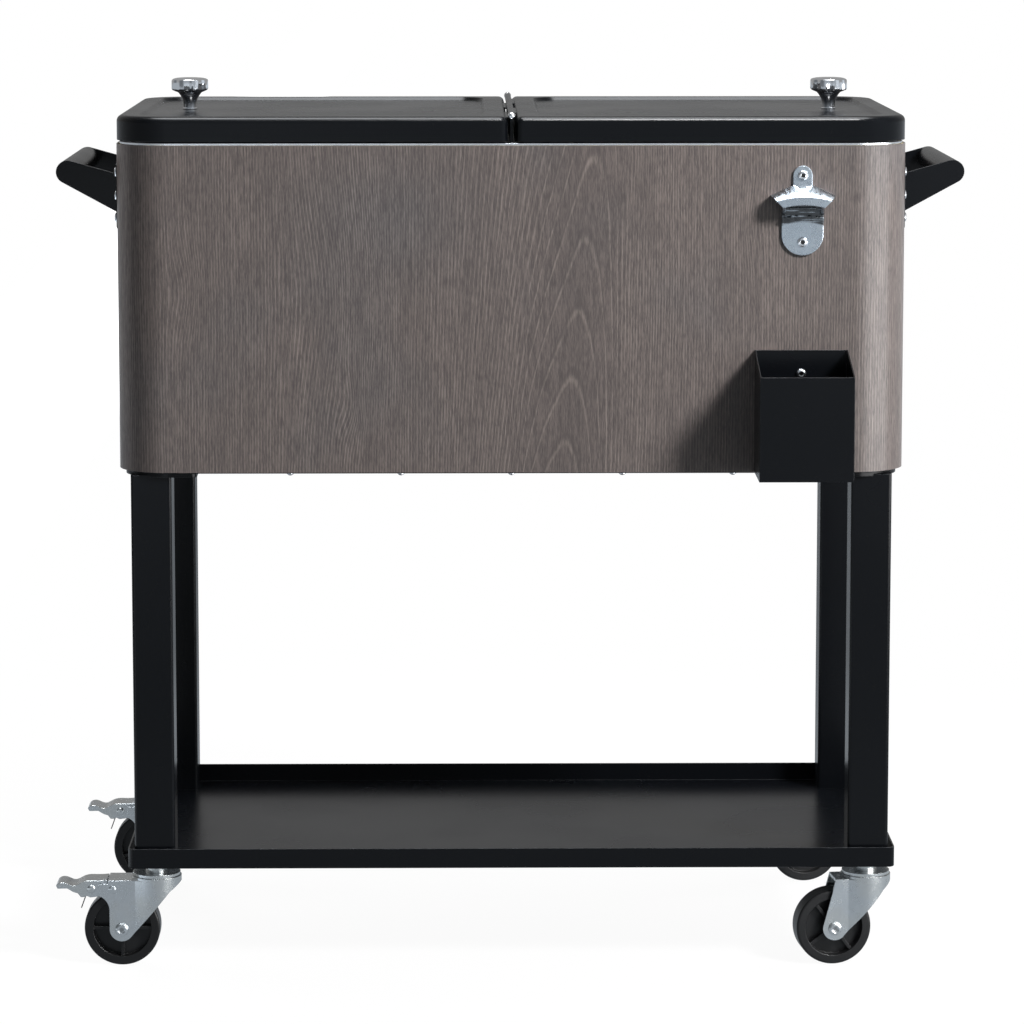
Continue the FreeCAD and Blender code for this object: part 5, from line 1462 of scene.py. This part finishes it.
LID_SHELLS = ("left_lid_shell", "right_lid_shell")
FLAT_SHEETS = ("shelf_tray", *LID_SHELLS, "left_lid_tray", "right_lid_tray")
KEY = SoftBox("key", (2.40, -2.15, 2.65), (0.25, -0.05, 0.60), (0.8, 0.8), 234.0, mirrored=False)
SOFT_BOXES = (
    KEY,
    replace(KEY, name="key_mirrored", mirrored=True, spread=False, nodes=FLAT_SHEETS),
    SoftBox(
        "side",
        (2.02, -1.47, 0.40),
        (0.37, -0.18, 0.60),
        (2.4, 0.60),
        36.0,
        spread=False,
        nodes=FLAT_SHEETS,
    ),
    SoftBox(
        "strip",
        (0.36, -1.42, 2.94),
        (0.2, -0.22, 0.86),
        (0.62, 0.5),
        90.0,
        spread=False,
        nodes=LID_SHELLS,
        linking=Linking.ONLY,
    ),
    SoftBox("right", (2.8, 1.2, 0.9), (0.40, 0.05, 0.60), (1.2, 1.6), 45.0, mirrored=False),
    SoftBox("left", (-2.8, 1.2, 0.9), (-0.40, 0.05, 0.60), (1.2, 1.6), 45.0, mirrored=False),
    SoftBox("rear", (-1.2, 3.0, 1.3), (0.0, 0.2, 0.60), (1.2, 1.2), 90.0, mirrored=False),
    SoftBox("top", (0.0, 0.3, 3.2), (0.0, 0.0, 0.8), (2.2, 1.4), 4.0, mirrored=False),
)


@dataclass
class Studio:
    """The camera, lamps, floor and white surround.

    A span runs from where a tone begins to where it is full.
    """

    boxes: tuple[SoftBox, ...] = SOFT_BOXES
    lens: float = 144.0
    camera_place: Place = (-0.0437, -4.1248, 1.060)
    camera_tilt: float = 7.21
    camera_yaw: float = -0.65
    camera_reach: float = 200.0
    frame_shift: float = -0.1
    ambient: float = 0.08
    back_level: float = 0.34
    front_level: float = 0.40
    front_span: Span = (0.35, -0.55)
    left_dim: float = 0.6
    left_span: Span = (-0.2, -0.7)
    right_box: float = 0.3
    right_spans: tuple[Span, ...] = ((0.50, 0.75), (-0.15, -0.45), (-0.30, -0.05))
    top_box: float = 14.0
    top_span: Span = (0.92, 0.97)
    cool_tint: Colour = (0.92, 1.0, 1.08)
    floor_radius: float = 30.0
    floor_segments: int = 64
    floor_shown: float = 0.95
    floor_met: float = 0.12
    floor_mirrored: float = 0.43
    floor_right: float = 0.60
    floor_span: Span = (-0.6, 1.6)
    floor_dip: float = 0.35
    dip_near: Span = (0.9, 1.6)
    dip_far: Span = (4.5, 3.0)
    floor_left: float = 1.3
    left_near: Span = (-0.70, -0.80)
    left_far: Span = (-1.4, -1.1)
    shadow_share: float = 0.05
    shadow_span: Span = (1.6, 0.5)

    def build(self) -> None:
        """Builds the whole studio."""
        self.camera()
        self.surround()
        self.floor()
        for box in self.boxes:
            box.hang()
        bpy.context.scene.view_settings.view_transform = "Standard"

    def camera(self) -> None:
        """Stands the camera where the photograph was taken."""
        data = bpy.data.cameras.new("camera")
        data.lens = self.lens
        data.shift_y = self.frame_shift
        data.clip_end = self.camera_reach
        camera = bpy.data.objects.new("camera", data)
        camera.location = self.camera_place
        camera.rotation_euler = (math.radians(90.0 - self.camera_tilt), 0.0, math.radians(self.camera_yaw))
        bpy.context.scene.collection.objects.link(camera)
        bpy.context.scene.camera = camera

    def surround(self) -> None:
        """Surrounds the cart with white for the camera, and with a dimmer room for what reflects it."""
        world = bpy.data.worlds.new("studio")
        world.use_nodes = True
        bpy.context.scene.world = world
        sketch = Sketch(world.node_tree)
        rays = sketch.add("LightPath").outputs
        seen = sketch.math("MAXIMUM", rays["Is Camera Ray"], rays["Is Transmission Ray"])
        shown = sketch.math("MAXIMUM", seen, rays["Is Glossy Ray"])
        backdrop = sketch.add("Background")
        sketch.feed(backdrop.inputs["Color"], sketch.mix(seen, self.room(sketch), WHITE))
        light = sketch.add("Background")
        light.inputs["Color"].default_value = (*WHITE, 1.0)
        light.inputs["Strength"].default_value = self.ambient
        choice = sketch.add("MixShader")
        sketch.feed(choice.inputs[0], shown)
        sketch.feed(choice.inputs[1], light.outputs[0])
        sketch.feed(choice.inputs[2], backdrop.outputs[0])
        output = sketch.add("OutputWorld")
        sketch.feed(output.inputs["Surface"], choice.outputs[0])

    def room(self, sketch: Sketch) -> Socket:
        """Draws the room that the cart reflects: cool and dim in front, with pale boxes right and above.

        Args:
            sketch: The world's sketch.

        Returns:
            The colour seen each way.
        """
        way = sketch.add("SeparateXYZ")
        sketch.feed(way.inputs[0], sketch.add("TexCoord").outputs["Generated"])
        x, y, z = way.outputs
        front = sketch.span(y, *self.front_span)
        level = sketch.span(front, 0.0, 1.0, self.back_level, self.front_level)
        left = sketch.product(sketch.span(x, *self.left_span), front, self.left_dim)
        level = sketch.math("MULTIPLY", level, sketch.math("SUBTRACT", 1.0, left))
        axes = zip((x, y, z), self.right_spans)
        right = sketch.product(*(sketch.span(axis, *span) for axis, span in axes))
        level = sketch.math("MULTIPLY_ADD", right, self.right_box, level)
        level = sketch.math("MULTIPLY_ADD", sketch.span(z, *self.top_span), self.top_box, level)
        wall = sketch.add("VectorMath", operation="SCALE")
        sketch.feed(wall.inputs[0], sketch.mix(front, WHITE, self.cool_tint))
        sketch.feed(wall.inputs["Scale"], level)
        return wall.outputs[0]

    def floor(self) -> None:
        """Lays the pale floor."""
        shape = bmesh.new()
        around = self.floor_segments
        bmesh.ops.create_circle(shape, cap_ends=True, radius=self.floor_radius, segments=around)
        mesh = bpy.data.meshes.new("floor")
        shape.to_mesh(mesh)
        shape.free()
        floor = bpy.data.objects.new("floor", mesh)
        bpy.context.scene.collection.objects.link(floor)
        mesh.materials.append(self.floor_material())

    def floor_material(self) -> bpy.types.Material:
        """Paints the floor: white with a faint shadow for the camera, dimmer in reflections.

        Returns:
            The floor's material.
        """
        material = bpy.data.materials.new("pale_floor")
        material.use_nodes = True
        sketch = Sketch(material.node_tree)
        place = sketch.add("TexCoord").outputs["Object"]
        reach = sketch.add("VectorMath", operation="LENGTH")
        sketch.feed(reach.inputs[0], place)
        away = reach.outputs["Value"]
        split = sketch.add("SeparateXYZ")
        sketch.feed(split.inputs[0], place)
        across = split.outputs[0]
        rays = sketch.add("LightPath").outputs
        camera_ray = rays["Is Camera Ray"]
        lit = sketch.add("BsdfDiffuse")
        shown = (self.floor_shown,) * 3
        met = (self.floor_met,) * 3
        sketch.feed(lit.inputs["Color"], sketch.mix(camera_ray, met, shown))
        near = sketch.span(away, *self.dip_near)
        dip = sketch.product(near, sketch.span(away, *self.dip_far), self.floor_dip)
        level = sketch.span(across, *self.floor_span, self.floor_mirrored, self.floor_right)
        level = sketch.math("MULTIPLY", level, sketch.math("SUBTRACT", 1.0, dip))
        strip = sketch.product(sketch.span(across, *self.left_near), sketch.span(across, *self.left_far))
        level = sketch.math("MULTIPLY_ADD", strip, self.floor_left, level)
        glow = sketch.add("Emission")
        sketch.feed(glow.inputs["Color"], sketch.mix(camera_ray, self.cool_tint, WHITE))
        sketch.feed(glow.inputs["Strength"], sketch.math("MAXIMUM", level, camera_ray))
        share = sketch.span(away, *self.shadow_span, 0.0, self.shadow_share)
        white = sketch.math("MULTIPLY", camera_ray, sketch.math("SUBTRACT", 1.0, share))
        choice = sketch.add("MixShader")
        sketch.feed(choice.inputs[0], sketch.math("MAXIMUM", white, rays["Is Glossy Ray"]))
        sketch.feed(choice.inputs[1], lit.outputs[0])
        sketch.feed(choice.inputs[2], glow.outputs[0])
        output = sketch.add("OutputMaterial")
        sketch.feed(output.inputs["Surface"], choice.outputs[0])
        return material


def main() -> None:
    """Builds and dresses the cart, then its studio."""
    logging.basicConfig(level=logging.INFO, format="%(message)s")
    SharedEffects().build()
    CoolerCart().build(frame["record"])
    Studio().build()


if __name__ == "__main__":
    main()
